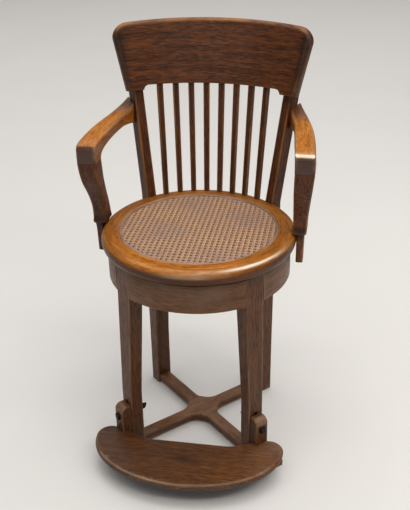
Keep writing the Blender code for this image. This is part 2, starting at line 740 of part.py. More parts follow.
def make_spider(parent):
    half = SPIDER_WIDTH / 2
    cross = []
    for index in range(4):
        turn = Matrix.Rotation(index * QUARTER_TURN, 2)
        arm = ((SPIDER_REACH, -half), (SPIDER_REACH, half), (half, half))
        cross += [turn @ Vector(point) for point in arm]
    bm = bmesh.new()
    add_loft(bm, [[(x, y, z) for x, y in cross] for z in (RING_BOTTOM, SPIDER_TOP)])
    spider = make_piece(bm, "seat_spider", IRON, parent)
    hub = bmesh.new()
    add_turned(hub, [(HUB_RADIUS, HUB_BOTTOM), (HUB_RADIUS, SPIDER_TOP - SPIDER_THICKNESS / 2)], ROUND_SIDES)
    join(spider, hub)
    holes = bmesh.new()
    margin = SPIDER_THICKNESS
    add_turned(holes, [(SPINDLE_BORE, HUB_BOTTOM - margin), (SPINDLE_BORE, SPIDER_TOP + margin)], ROUND_SIDES)
    add_screw_holes(holes, spider_screw_frames(), SPIDER_SCREW_LENGTH)
    cut(spider, holes)
    make_screws("spider_screw", spider_screw_frames(), SPIDER_SCREW_LENGTH, parent)


def ring_profile():
    half = RING_THICKNESS / 2
    under = quarter_arc((RING_RADIUS - RING_UNDER_ROUND, RING_MIDDLE), (RING_UNDER_ROUND, half),
                        -QUARTER_TURN)
    over = quarter_arc((RING_RADIUS - RING_TOP_ROUND, RING_MIDDLE), (RING_TOP_ROUND, half), 0.0)
    opening = CANE_RADIUS - CANE_LEDGE
    return [(opening, RING_BOTTOM), *under, *over[1:], (CANE_RADIUS, SEAT_HEIGHT),
            (CANE_RADIUS, LEDGE_HEIGHT), (opening, LEDGE_HEIGHT)]


def ring_edge_tool(bottom):
    # the ring's outer edge, grown by the fit and carried down to bottom, for coping what stands on it
    over = quarter_arc((RING_RADIUS - RING_TOP_ROUND, RING_MIDDLE),
                       (RING_TOP_ROUND + GAP, RING_THICKNESS / 2 + GAP), 0.0)
    bm = bmesh.new()
    add_turned(bm, [(RING_RADIUS + GAP, bottom), *over], RING_SEGMENTS)
    return bm


def make_ring(parent):
    bm = bmesh.new()
    add_hollow(bm, ring_profile(), RING_SEGMENTS)
    ring = make_piece(bm, "seat_ring", GOLDEN_OAK, parent)
    pockets = bmesh.new()
    half = SPIDER_WIDTH / 2 + GAP
    inside = CANE_RADIUS - 2 * CANE_LEDGE
    for index in range(4):
        add_box(pockets, (inside, -half, RING_BOTTOM - SPIDER_THICKNESS),
                (SPIDER_REACH + GAP, half, SPIDER_TOP + GAP), Matrix.Rotation(index * QUARTER_TURN, 4, "Z"))
    for index in range(SLAT_COUNT):
        add_loft(pockets, slat_loops(index, GAP))
    cut(ring, pockets)
    holes = bmesh.new()
    add_screw_holes(holes, spider_screw_frames(), SPIDER_SCREW_LENGTH)
    add_screw_holes(holes, tang_screw_frames(), TANG_SCREW_LENGTH)
    cut(ring, holes)


def make_cane(parent):
    bottom = LEDGE_HEIGHT + GAP
    top = bottom + CANE_THICKNESS
    rim = CANE_RADIUS - GAP
    inner = rim - SPLINE_WIDTH
    radius = inner - GAP
    bm = bmesh.new()
    add_turned(bm, [(radius, bottom), (radius, top)], RING_SEGMENTS)
    panel = make_piece(bm, "cane_panel", CANE, parent)
    gaps = bmesh.new()
    half = (CANE_PITCH - CANE_STRAND) / 2
    open_radius = CANE_RADIUS - CANE_LEDGE - CANE_STRAND
    count = int(open_radius / CANE_PITCH)
    for row in range(-count, count + 1):
        for column in range(-count, count + 1):
            x, y = column * CANE_PITCH, row * CANE_PITCH
            if math.hypot(abs(x) + half, abs(y) + half) > open_radius:
                continue
            add_box(gaps, (x - half, y - half, bottom - CANE_THICKNESS),
                    (x + half, y + half, top + CANE_THICKNESS))
    cut(panel, gaps)
    bm = bmesh.new()
    spline_top = bottom + SPLINE_HEIGHT
    shoulder = spline_top - SPLINE_EDGE
    add_hollow(bm, [(inner, bottom), (rim, bottom), (rim, shoulder), (rim - SPLINE_EDGE, spline_top),
                    (inner + SPLINE_EDGE, spline_top), (inner, shoulder)], RING_SEGMENTS)
    make_piece(bm, "cane_spline", CANE, parent)


def rail_front(x, z):
    # the rail's front face is ruled from a tight lower arc to a flatter upper one
    share = (z - RAIL_EAR_HEIGHT) / (RAIL_TOP_HEIGHT - RAIL_EAR_HEIGHT)
    low = RAIL_FOOT_Y - RAIL_FOOT_RADIUS + math.sqrt(RAIL_FOOT_RADIUS ** 2 - x ** 2)
    high = RAIL_TOP_Y - RAIL_TOP_RADIUS + math.sqrt(RAIL_TOP_RADIUS ** 2 - x ** 2)
    return lerp(low, high, share)


def rail_underside(x):
    # flat over the slats, then a round drop to the ears over the posts
    drop = RAIL_ARCH_HEIGHT - RAIL_EAR_HEIGHT
    into = min(max((abs(x) - RAIL_ARCH_HALF_WIDTH) / drop, 0.0), 1.0)
    return RAIL_ARCH_HEIGHT - drop * (1 - math.sqrt(1 - into ** 2))


def rail_top(x):
    # a slight crown that rolls over into round upper corners
    crown = RAIL_TOP_HEIGHT - RAIL_CROWN * (x / RAIL_TOP_HALF_WIDTH) ** 2
    into = max((abs(x) - RAIL_TOP_HALF_WIDTH) / RAIL_CORNER + 1, 0.0)
    return crown - RAIL_CORNER * (1 - math.sqrt(max(1 - into ** 2, 0.0)))


def rail_shares():
    # stations across half the rail, close together at the drops and the corners
    drop = (RAIL_ARCH_HEIGHT - RAIL_EAR_HEIGHT) / RAIL_FOOT_HALF_WIDTH
    arch = RAIL_ARCH_HALF_WIDTH / RAIL_FOOT_HALF_WIDTH
    corner = 1 - RAIL_CORNER / RAIL_TOP_HALF_WIDTH
    turns = [math.sin(QUARTER_TURN * step / RAIL_STEPS) for step in range(RAIL_STEPS + 1)]
    flat = [arch * step / RAIL_STEPS for step in range(RAIL_STEPS)]
    cove = [arch + drop * turn for turn in turns]
    round_over = [corner + (1 - corner) * turn for turn in turns]
    half = [*flat, *cove, *(share for share in round_over if share > cove[-1])]
    return [*(-share for share in reversed(half[1:])), *half]


def rail_loops(grow=0.0):
    loops = []
    for share in rail_shares():
        foot_x = share * RAIL_FOOT_HALF_WIDTH
        top_x = share * RAIL_TOP_HALF_WIDTH
        foot_z = rail_underside(foot_x) - grow
        top_z = rail_top(top_x) + grow
        foot = Vector((foot_x, rail_front(foot_x, foot_z), foot_z))
        top = Vector((top_x, rail_front(top_x, top_z), top_z))
        rib = (top - foot).normalized()
        slope = math.asin(share * RAIL_FOOT_HALF_WIDTH / RAIL_FOOT_RADIUS)
        across = Vector((math.cos(slope), -math.sin(slope), 0))
        back = rib.cross(across).normalized()
        if back.y < 0:
            back.negate()
        height = (top - foot).length
        past = max((abs(share) - 1) * RAIL_TOP_HALF_WIDTH / RAIL_END_EDGE + 1, 0.0)
        pinch = RAIL_END_EDGE * (1 - math.sqrt(max(1 - past ** 2, 0.0)))
        thin, thick = pinch - grow, RAIL_THICKNESS - pinch + grow
        outline = rail_section(thin, thick, height)
        loops.append([foot + back * depth + rib * rise for depth, rise in outline])
    return loops


def rail_section(front, back, height):
    # from the front lower edge round the back and over the top
    lower = RAIL_FOOT_EDGE
    upper = min(RAIL_TOP_EDGE, (back - front) * EDGE_LIMIT)
    corners = (
        ((front + lower, lower), lower, math.pi),
        ((back - lower, lower), lower, -QUARTER_TURN),
        ((back - upper, height - upper), upper, 0.0),
        ((front + upper, height - upper), upper, QUARTER_TURN),
    )
    outline = []
    for centre, radius, first in corners:
        steps = CORNER_STEPS if radius > lower else 1
        outline += quarter_arc(centre, (radius, radius), first, steps)
    return outline


def slat_ends(index):
    place = index - (SLAT_COUNT - 1) / 2
    seat_x = place * SLAT_SEAT_SPACING
    rail_x = place * SLAT_RAIL_SPACING
    seat_y = math.sqrt(SLAT_SEAT_CIRCLE ** 2 - seat_x ** 2)
    rail_y = rail_front(rail_x, RAIL_ARCH_HEIGHT) + RAIL_THICKNESS / 2
    return Vector((seat_x, seat_y, SEAT_HEIGHT)), Vector((rail_x, rail_y, RAIL_ARCH_HEIGHT))


def slat_loops(index, grow=0.0):
    seat, rail = slat_ends(index)
    along = (rail - seat).normalized()
    facing = (math.asin(seat.x / SLAT_SEAT_CIRCLE) + math.asin(rail.x / RAIL_FOOT_RADIUS)) / 2
    turn = Matrix.Rotation(-facing, 3, "Z")
    seat_reach = (SLAT_SEAT_TENON + grow) / along.z
    rail_reach = (SLAT_RAIL_TENON + grow) / along.z
    loops = []
    ends = ((seat - along * seat_reach, SLAT_SEAT_WIDTH), (rail + along * rail_reach, SLAT_RAIL_WIDTH))
    for centre, width in ends:
        outline = round_rectangle(width / 2 + grow, SLAT_THICKNESS / 2 + grow, SLAT_EDGE, 1)
        loops.append([centre + turn @ Vector((x, y, 0)) for x, y in outline])
    return loops


def make_back(parent):
    bm = bmesh.new()
    add_loft(bm, rail_loops())
    rail = make_piece(bm, "crest_rail", BROWN_OAK, parent)
    mortises = bmesh.new()
    for index in range(SLAT_COUNT):
        add_loft(mortises, slat_loops(index, GAP))
        bm = bmesh.new()
        add_loft(bm, slat_loops(index))
        make_piece(bm, "slat_%d" % (index + 1), BROWN_OAK, parent)
    cut(rail, mortises)


def post_centre(side, height):
    rise = max(height - SEAT_HEIGHT, 0.0)
    across = POST_FOOT_X + POST_LEAN_X * rise
    return Vector((side * across, POST_FOOT_Y + POST_LEAN_Y * rise, height))


def post_axes(side):
    # outward over the seat's edge, and across towards the arm
    outward = Vector((side * math.sin(POST_TURN), math.cos(POST_TURN), 0))
    across = Vector((side * math.cos(POST_TURN), -math.sin(POST_TURN), 0))
    return outward, across


def arm_joint(side):
    # place and direction of the post's face that the arm's end butts against
    outward, across = post_axes(side)
    rise = Vector((side * POST_LEAN_X, POST_LEAN_Y, 1))
    normal = outward.cross(rise).normalized()
    if normal.dot(across) < 0:
        normal.negate()
    return post_centre(side, SEAT_HEIGHT + ARM_RISE) + across * POST_WIDTH / 2, normal


def tang_screw_frames():
    # screws through the tangs into the ring's edge, level and square to the edge
    frames = []
    for side in SIDES.values():
        outward = post_axes(side)[0]
        face = post_centre(side, RING_MIDDLE) + outward * POST_DEPTH / 2
        frames.append(aim(face, -outward))
        front, back, outer = tang_section(RING_MIDDLE)
        frames.append(aim((side * outer, (front + back) / 2, RING_MIDDLE), (-side, 0, 0)))
    return frames


def tang_section(height):
    # front, back and outer face of the tang at a height below the seat
    start, end = support_rows()[-2:]
    share = (height - start[0]) / (end[0] - start[0])
    return [lerp(start[index], end[index], share) for index in (1, 2, 4)]


def support_rows():
    # the same rows as heights and places in the chair
    rows = []
    for rise, front, back, inner, outer in SUPPORT_ROWS:
        rows.append((SEAT_HEIGHT + rise, front, back, RING_RADIUS + inner, RING_RADIUS + outer))
    return rows


def arm_rows():
    # the same rows as heights and places in the chair, from the post to the seam
    post = post_centre(1, SEAT_HEIGHT + ARM_RISE)
    rows = []
    for knots, x, y in ((ARM_REAR_ROWS, post.x, post.y), (ARM_FRONT_ROWS, RING_RADIUS, 0.0)):
        for lower_y, lower_rise, upper_y, upper_rise, inner, outer in knots:
            rows.append((y + lower_y, SEAT_HEIGHT + lower_rise, y + upper_y, SEAT_HEIGHT + upper_rise,
                         x + inner, x + outer))
    return rows


def make_posts(parent):
    for name, side in SIDES.items():
        outward, across = post_axes(side)
        outline = round_rectangle(POST_WIDTH / 2, POST_DEPTH / 2, POST_EDGE, 1)
        loops = []
        for height in (RING_BOTTOM, SEAT_HEIGHT, POST_TOP):
            centre = post_centre(side, height)
            loops.append([centre + across * x + outward * y for x, y in outline])
        bm = bmesh.new()
        add_loft(bm, loops)
        post = make_piece(bm, "back_post_" + name, BROWN_OAK, parent)
        cut(post, ring_edge_tool(RING_BOTTOM - RING_THICKNESS))
        lap = bmesh.new()
        add_loft(lap, rail_loops(GAP))
        cut(post, lap)
        holes = bmesh.new()
        add_screw_holes(holes, tang_screw_frames(), TANG_SCREW_LENGTH)
        cut(post, holes)


def make_arms(parent):
    for name, side in SIDES.items():
        loops = []
        for lower_y, lower_z, upper_y, upper_z, inner, outer in smooth_rows(arm_rows(), ROW_STEPS):
            rib = Vector((0, upper_y - lower_y, upper_z - lower_z))
            middle = Vector((side * (inner + outer), lower_y + upper_y, lower_z + upper_z)) / 2
            outline = round_rectangle((outer - inner) / 2, rib.length / 2, ARM_EDGE)
            up = rib.normalized()
            loops.append([middle + Vector((side * x, 0, 0)) + up * y for x, y in outline])
        bm = bmesh.new()
        add_loft(bm, loops)
        arm = make_piece(bm, "arm_" + name, GOLDEN_OAK, parent)
        place, normal = arm_joint(side)
        mitre = bmesh.new()
        size = POST_DEPTH * 4
        add_box(mitre, (-size, -size, -size), (size, size, GAP), aim(place, normal))
        cut(arm, mitre)


def make_supports(parent):
    for name, side in SIDES.items():
        loops = []
        for height, front, back, inner, outer in smooth_rows(support_rows(), ROW_STEPS):
            outline = round_rectangle((outer - inner) / 2, (back - front) / 2, SUPPORT_EDGE)
            middle = Vector((side * (inner + outer) / 2, (front + back) / 2, height))
            loops.append([middle + Vector((side * x, y, 0)) for x, y in outline])
        bm = bmesh.new()
        add_loft(bm, loops)
        support = make_piece(bm, "arm_support_" + name, BROWN_OAK, parent)
        cut(support, ring_edge_tool(SEAT_HEIGHT - TANG_DROP - RING_THICKNESS))
        holes = bmesh.new()
        add_screw_holes(holes, tang_screw_frames(), TANG_SCREW_LENGTH)
        cut(support, holes)


# Footrest

def footrest_rear(x):
    # flat in the middle, then swept back round the front legs
    share = min(max((abs(x) - FOOTREST_WRAP_START) / FOOTREST_WRAP_LENGTH, 0.0), 1.0)
    return -FOOTREST_REAR + FOOTREST_WRAP * share ** 2 * (3 - 2 * share)


def footrest_outline():
    # counter-clockwise: the front half ellipse, the right corner, the rear edge, the left corner
    front = []
    for step in range(1, FOOTREST_STEPS):
        angle = math.pi + math.pi * step / FOOTREST_STEPS
        front.append((FOOTREST_HALF_WIDTH * math.cos(angle),
                      -FOOTREST_REAR + FOOTREST_DEPTH * math.sin(angle)))
    corner = (FOOTREST_CORNER, FOOTREST_WRAP)
    right = quarter_arc((FOOTREST_WRAP_END, -FOOTREST_REAR), corner, 0.0)
    left = quarter_arc((-FOOTREST_WRAP_END, -FOOTREST_REAR), corner, QUARTER_TURN)
    sweep = [lerp(FOOTREST_WRAP_END, FOOTREST_WRAP_START, step / SWEEP_STEPS)
             for step in range(1, SWEEP_STEPS + 1)]
    rear = [(x, footrest_rear(x)) for x in (*sweep, *(-x for x in reversed(sweep)))]
    return [*front, *right, *rear, *left]


def bracket_profile():
    # an upright limb on the leg and a cleat under the board, as (radius, height)
    over = quarter_arc((BRACKET_FRONT - BRACKET_ROUND, BRACKET_TOP - BRACKET_ROUND),
                       (BRACKET_ROUND, BRACKET_ROUND), 0.0)
    return [(BRACKET_FACE, CLEAT_BOTTOM), (CLEAT_REACH, CLEAT_BOTTOM), (CLEAT_REACH, CLEAT_TOP),
            (BRACKET_FRONT, CLEAT_TOP), *over, (BRACKET_FACE, BRACKET_TOP)]


def cleat_screw_frame():
    return aim((CLEAT_SCREW_RADIUS, 0, CLEAT_BOTTOM), (0, 0, 1))


def front_legs():
    for name, side in SIDES.items():
        yield name, side, LEG_ANGLES["front_" + name]


def make_footrest(parent):
    rows = []
    half = FOOTREST_THICKNESS / 2
    for step in range(ARC_STEPS + 1):
        angle = -QUARTER_TURN + math.pi * step / ARC_STEPS
        rows.append((FOOTREST_EDGE * (1 - math.cos(angle)), FOOTREST_BOTTOM + half + half * math.sin(angle)))
    outline = footrest_outline()
    bm = bmesh.new()
    add_loft(bm, [[(x, y, z) for x, y in offset_outline(outline, inset)] for inset, z in rows])
    board = make_piece(bm, "footrest_board", BROWN_OAK, parent)
    notches = bmesh.new()
    holes = bmesh.new()
    width = BRACKET_WIDTH / 2 + GAP
    for name, side, angle in front_legs():
        turn = Matrix.Rotation(angle, 4, "Z")
        add_box(notches, (FRONT_FACE - BRACKET_DEPTH, -width, CLEAT_BOTTOM),
                (BRACKET_FRONT + GAP, width, BRACKET_TOP), turn)
        add_screw_holes(holes, [turn @ cleat_screw_frame()], CLEAT_SCREW_LENGTH)
    cut(board, notches)
    cut(board, holes)


def make_brackets(parent):
    half = BRACKET_WIDTH / 2
    lying = aim((0, 0, BOLT_HEIGHT), (1, 0, 0))
    for name, side, angle in front_legs():
        bm = bmesh.new()
        add_loft(bm, [[(x, y, z) for x, z in bracket_profile()] for y in (-half, half)])
        bracket = make_piece(bm, "footrest_bracket_" + name, BROWN_OAK, parent, turn=angle)
        holes = bmesh.new()
        add_turned(holes, [(BOLT_BORE, BRACKET_FACE - BRACKET_DEPTH),
                           (BOLT_BORE, BRACKET_FRONT + BRACKET_DEPTH)], ROUND_SIDES, lying)
        add_screw_holes(holes, [cleat_screw_frame()], CLEAT_SCREW_LENGTH)
        cut(bracket, holes)
        make_screw("cleat_screw_" + name, cleat_screw_frame(), CLEAT_SCREW_LENGTH, parent, angle)


def make_clamp_bolts(parent):
    head = BRACKET_FRONT + GAP
    top = head + BOLT_HEAD_HEIGHT
    end = WING_FACE - WING_BOSS_HEIGHT - BOLT_END
    top_half = BOLT_HEAD_HALF - BOLT_HEAD_CHAMFER
    square = round_rectangle(BOLT_HEAD_HALF, BOLT_HEAD_HALF, BOLT_HEAD_EDGE)
    chamfer = round_rectangle(top_half, top_half, BOLT_HEAD_EDGE)
    shank = circle(BOLT_RADIUS, len(square), -math.radians(75))
    rows = ((end, shank), (head, shank), (head, square), (top - BOLT_HEAD_CHAMFER, square), (top, chamfer))
    washer = square_profile(BOLT_BORE, BOLT_BORE + CLAMP_WASHER_LIP,
                            CLAMP_FACE - CLAMP_WASHER_THICKNESS, CLAMP_FACE)
    lying = aim((0, 0, BOLT_HEIGHT), (1, 0, 0))
    for name, side, angle in front_legs():
        bm = bmesh.new()
        add_loft(bm, [[(x, y, BOLT_HEIGHT + z) for y, z in outline] for x, outline in rows])
        make_piece(bm, "clamp_bolt_" + name, IRON, parent, turn=angle)
        bm = bmesh.new()
        add_hollow(bm, washer, ROUND_SIDES, lying)
        make_piece(bm, "clamp_washer_" + name, STEEL, parent, turn=angle)


def make_wing_nuts(parent):
    # each nut's origin is on its bolt's axis, with X along the bolt
    for name, side, angle in front_legs():
        place = Matrix.Rotation(angle, 4, "Z") @ Vector((WING_FACE, 0, BOLT_HEIGHT))
        along = aim((0, 0, 0), (-1, 0, 0))
        bm = bmesh.new()
        add_turned(bm, [(WING_BOSS_RADIUS, 0.0), (WING_BOSS_RADIUS - WING_BOSS_TAPER, WING_BOSS_HEIGHT)],
                   ROUND_SIDES, along)
        nut = make_piece(bm, "wing_nut_" + name, IRON, parent, location=place, turn=angle)
        tilt = Matrix.Rotation(side * WING_REST_TURN, 4, "X")
        half = (WING_REACH - BOLT_BORE) / 2
        outline = round_rectangle(WING_LENGTH / 2, half, min(WING_ROUND, half, WING_LENGTH * EDGE_LIMIT))
        wings = bmesh.new()
        for direction in (-1, 1):
            middle = direction * (BOLT_BORE + half)
            add_loft(wings, [[(x - WING_SWEEP, y, middle + z) for x, z in outline]
                             for y in (-WING_THICKNESS / 2, WING_THICKNESS / 2)], tilt)
        join(nut, wings)
        hole = bmesh.new()
        add_turned(hole, [(BOLT_BORE, -WING_BOSS_HEIGHT), (BOLT_BORE, 2 * WING_BOSS_HEIGHT)],
                   ROUND_SIDES, along)
        cut(nut, hole)


def swivel_axis_y():
    # puts the middle of the whole chair's depth on y = 0
    back_reach = max(point.y for loop in rail_loops() for point in loop)
    return (FOOTREST_REAR + FOOTREST_DEPTH - back_reach) / 2


def make_chair():
    clear_scene()
    axis = (0, swivel_axis_y(), 0)
    base = make_empty("base_frame", axis)
    make_legs(base)
    make_apron(base)
    make_stretchers(base)
    make_bearers(base)
    make_socket(base)
    seat = make_empty("seat_swivel", axis)
    make_spindle(seat)
    make_spider(seat)
    make_ring(seat)
    make_cane(seat)
    make_back(seat)
    make_posts(seat)
    make_arms(seat)
    make_supports(seat)
    make_screws("tang_screw", tang_screw_frames(), TANG_SCREW_LENGTH, seat)
    footrest = make_empty("footrest_slide", axis)
    make_footrest(footrest)
    make_brackets(footrest)
    make_clamp_bolts(footrest)
    make_wing_nuts(footrest)


make_chair()
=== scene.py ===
# Oak revolving barber chair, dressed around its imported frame: metres, +Z up, front towards -Y.
# Plan places are written from the swivel axis, and heights from the floor.
import json
from functools import partial
from math import asin, cos, pi, radians, sin, sqrt, tan

import bmesh
import bpy
import numpy as np
from mathutils import Matrix, Vector


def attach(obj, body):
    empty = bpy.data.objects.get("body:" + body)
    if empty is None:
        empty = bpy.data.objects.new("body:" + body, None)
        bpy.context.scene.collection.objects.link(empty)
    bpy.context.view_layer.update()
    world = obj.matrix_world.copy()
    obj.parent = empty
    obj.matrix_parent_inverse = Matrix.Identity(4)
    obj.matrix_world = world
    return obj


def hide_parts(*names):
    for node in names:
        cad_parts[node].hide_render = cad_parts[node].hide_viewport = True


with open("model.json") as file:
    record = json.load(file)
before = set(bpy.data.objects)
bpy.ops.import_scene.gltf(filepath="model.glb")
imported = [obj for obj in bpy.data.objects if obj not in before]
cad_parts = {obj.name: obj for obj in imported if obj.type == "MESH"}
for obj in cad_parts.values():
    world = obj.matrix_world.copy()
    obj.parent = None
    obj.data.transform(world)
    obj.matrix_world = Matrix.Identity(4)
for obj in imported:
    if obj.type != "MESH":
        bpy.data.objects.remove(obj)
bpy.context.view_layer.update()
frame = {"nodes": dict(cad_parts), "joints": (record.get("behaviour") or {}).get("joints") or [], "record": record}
nodes = frame["nodes"]
swivelY = next(joint["pos_m"][1] for joint in frame["joints"] if joint["name"] == "seat_swivel")
sides = {"left": -1, "right": 1}
quarterTurn = pi / 2
print("frame loaded with", len(nodes), "nodes")


# colours and nodes

def hexColour(text):
    # sRGB hex to linear
    values = [int(text[place:place + 2], 16) / 255 for place in (1, 3, 5)]
    linear = [value / 12.92 if value <= 0.04045 else ((value + 0.055) / 1.055) ** 2.4 for value in values]
    return (*linear, 1.0)


def adjust(node, settings):
    # settings name an input or a property of the node
    for key, value in settings.items():
        if isinstance(value, str) and value.startswith("#"):
            value = hexColour(value)
        if isinstance(key, int) or key in node.inputs:
            node.inputs[key].default_value = value
        else:
            setattr(node, key, value)


def feed(node, links):
    for key, source in links.items():
        node.id_data.links.new(source, node.inputs[key])


def addNode(tree, kind, settings, links, output=0):
    node = tree.nodes.new("ShaderNode" + kind)
    adjust(node, settings)
    feed(node, links)
    return node.outputs[output]


def newMaterial(name, settings):
    made = bpy.data.materials.new(name)
    made.use_nodes = True
    shader = made.node_tree.nodes["Principled BSDF"]
    adjust(shader, settings)
    return made, shader, partial(addNode, made.node_tree)


# meshes

def addObject(name, data):
    thing = bpy.data.objects.new(name, data)
    bpy.context.scene.collection.objects.link(thing)
    return thing


def reshape(mesh, change):
    # opens a mesh, changes it and writes it back
    shape = bmesh.new()
    shape.from_mesh(mesh)
    change(shape)
    shape.to_mesh(mesh)
    shape.free()


def meshPiece(name, points, faces):
    mesh = bpy.data.meshes.new(name)
    mesh.from_pydata([(x, y + swivelY, z) for x, y, z in points], [], faces)
    reshape(mesh, lambda shape: bmesh.ops.recalc_face_normals(shape, faces=shape.faces))
    return addObject(name, mesh)


def skin(rows, count, first=0, closed=False):
    # faces over rows of equally many points, capped unless the rows close on themselves
    faces = []
    for row in range(rows if closed else rows - 1):
        here = first + row * count
        after = first + (row + 1) % rows * count
        for index in range(count):
            beside = (index + 1) % count
            faces.append((here + index, here + beside, after + beside, after + index))
    if not closed:
        last = first + (rows - 1) * count
        faces.append(tuple(reversed(range(first, first + count))))
        faces.append(tuple(range(last, last + count)))
    return faces


def loft(name, loops, closed=False):
    points = [point for loop in loops for point in loop]
    return meshPiece(name, points, skin(len(loops), len(loops[0]), closed=closed))


def revolve(name, profile, segments):
    # a ring from a closed outline of (radius, height)
    loops = []
    for index in range(segments):
        turn = 2 * pi * index / segments
        loops.append([(radius * sin(turn), -radius * cos(turn), z) for radius, z in profile])
    return loft(name, loops, closed=True)


def keepShape(piece):
    # makes plain mesh of a piece and its modifiers
    bpy.context.view_layer.update()
    shaped = piece.evaluated_get(bpy.context.evaluated_depsgraph_get())
    mesh = bpy.data.meshes.new_from_object(shaped)
    piece.modifiers.clear()
    piece.data = mesh


def carve(piece, loops):
    # cuts a lofted block out of a piece
    cutter = loft(piece.name + "Cutter", loops)
    change = piece.modifiers.new("cut", "BOOLEAN")
    change.operation = "DIFFERENCE"
    change.solver = "EXACT"
    change.object = cutter
    keepShape(piece)
    bpy.data.objects.remove(cutter)


def bisect(shape, point, normal, **choices):
    everything = [*shape.verts, *shape.edges, *shape.faces]
    place = Vector(point) + Vector((0, swivelY, 0))
    return bmesh.ops.bisect_plane(shape, geom=everything, plane_co=place, plane_no=normal, **choices)


def sliceFaces(piece, normal, distances):
    # cuts the faces along parallel planes, so that age and stains have points to hold on to
    def cut(shape):
        for distance in distances:
            bisect(shape, Vector(normal) * distance, normal)

    reshape(piece.data, cut)


def arc(centre, radii, first, steps, sweep=quarterTurn):
    angles = [first + sweep * step / steps for step in range(steps + 1)]
    return [(centre[0] + radii[0] * cos(angle), centre[1] + radii[1] * sin(angle)) for angle in angles]


def roundOff(radius, share):
    # how far a round corner has fallen away, a share of the way along it
    share = min(max(share, 0.0), 1.0)
    return radius * (1 - sqrt(1 - share ** 2))


def cornerArcs(halfWidth, halfHeight, radius, steps):
    # the round corners of a rectangle, anticlockwise from the lower right one
    arcs = []
    for turn, (side, level) in enumerate(((1, -1), (1, 1), (-1, 1), (-1, -1))):
        centre = (side * (halfWidth - radius), level * (halfHeight - radius))
        arcs.append(arc(centre, (radius, radius), quarterTurn * (turn - 1), steps))
    return arcs


def roundedSection(halfWidth, halfHeight, radius, steps=4, rim=0.003, mostRim=0.3):
    # a rectangle with round corners, and points beside each corner that keep its wear close to the edge
    arcs = cornerArcs(halfWidth, halfHeight, radius, steps)
    outline = []
    for turn, corner in enumerate(arcs):
        start = Vector(corner[-1])
        end = Vector(arcs[(turn + 1) % len(arcs)][0])
        share = min(rim / max((end - start).length, 1e-6), mostRim)
        outline += corner
        outline += [tuple(start.lerp(end, part)) for part in (share, 0.5, 1 - share)]
    return outline


def smoothRows(knots, steps=7):
    # rows of numbers on a smooth curve through the knots
    knots = np.array([knots[0], *knots, knots[-1]])
    rows = []
    for before, here, after, beyond in zip(knots, knots[1:], knots[2:], knots[3:]):
        for share in np.arange(steps) / steps:
            rows.append(0.5 * (2 * here + (after - before) * share
                               + (2 * before - 5 * here + 4 * after - beyond) * share ** 2
                               + (3 * here - before - 3 * after + beyond) * share ** 3))
    return [*rows, knots[-1]]


# grain, age and wear, which also carry painted shade and painted highlights

plankStep = np.array((1.37, 0.61, 0.29))  # no two planks show the same stretch of grain
usualWear, bareWear = 1.6, 3.0  # the most that edges wear, and the full painted highlight, drawn as varnish rubbed bare
fullAge, oldestAge = 1.0, 1.3  # the darkest tone, of old wood and of painted shade, and ends with thick varnish over it
usualCrease = 38  # degrees above which an edge is sharp
edgeBend = dict(least=12, span=70)  # bend per metre where an edge starts to wear, and the rise to full wear


def straightGrain(along, across, plank):
    # grain coordinates of sawn wood: along, across and into the board, in metres
    first = Vector(along).normalized()
    second = (Vector(across) - first * first.dot(Vector(across))).normalized()
    basis = np.array((first, second, first.cross(second))).T
    return lambda places: places @ basis + plank * plankStep


def bentGrain(radius, plank):
    # grain coordinates of wood bent round the seat, with the join at the back
    def coordinates(places):
        x, y, z = places.T
        return np.c_[np.arctan2(x, -y) * radius, z, np.hypot(x, y)] + plank * plankStep * (1, 1, 0)

    return coordinates


def ramp(values, low, high):
    # rises smoothly from 0 at low to 1 at high
    share = np.clip((values - low) / (high - low), 0, 1)
    return share * share * (3 - 2 * share)


def hump(values, middle, width):
    return np.exp(-((values - middle) / width) ** 2)


def shades(place, facing, rule):
    # age with painted shade, or wear with painted highlights, of each point by a function, a value or a table:
    # a start and, for each layer, an amount times its limits, which say where in place (x to turn)
    # or in facing (end to up) it shows
    if callable(rule):
        return rule(place, facing)
    x, y, z = place
    if not isinstance(rule, tuple):
        return np.zeros(len(x)) + rule
    ways = dict(x=x, y=y, z=z, aside=np.abs(x), turn=np.arctan2(x, -y),
                end=np.abs(facing[0]), out=facing[0] * np.sign(x), rear=facing[1], up=facing[2])

    def shown(way, low, high, shape=ramp):
        return shape(ways[way], low, high)

    start, *layers = rule
    total = np.full(len(x), start)
    for amount, *limits in layers:
        total += amount * np.prod([shown(*limit) for limit in limits], axis=0)
    return total


def edgeWear(mesh, places, normals):
    # how far each point stands out from its neighbours: 1 along rounded edges, 0 on flats
    edges = np.empty(len(mesh.edges) * 2, int)
    mesh.edges.foreach_get("vertices", edges)
    first, second = edges.reshape(-1, 2).T
    reach = places[second] - places[first]
    length = np.linalg.norm(reach, axis=1) + 1e-9
    bend = np.zeros(len(places))
    np.add.at(bend, first, -(normals[first] * reach).sum(1) / length ** 2)
    np.add.at(bend, second, (normals[second] * reach).sum(1) / length ** 2)
    shared = np.bincount(np.r_[first, second], minlength=len(places))
    return np.clip((bend / np.maximum(shared, 1) - edgeBend["least"]) / edgeBend["span"], 0, 1)


def readPoints(items, key):
    values = np.empty(len(items) * 3)
    items.foreach_get(key, values)
    return values.reshape(-1, 3)


def setAttribute(mesh, name, kind, key, values):
    attribute = mesh.attributes.new(name, kind, "POINT")
    attribute.data.foreach_set(key, np.ascontiguousarray(values, np.float32).ravel())


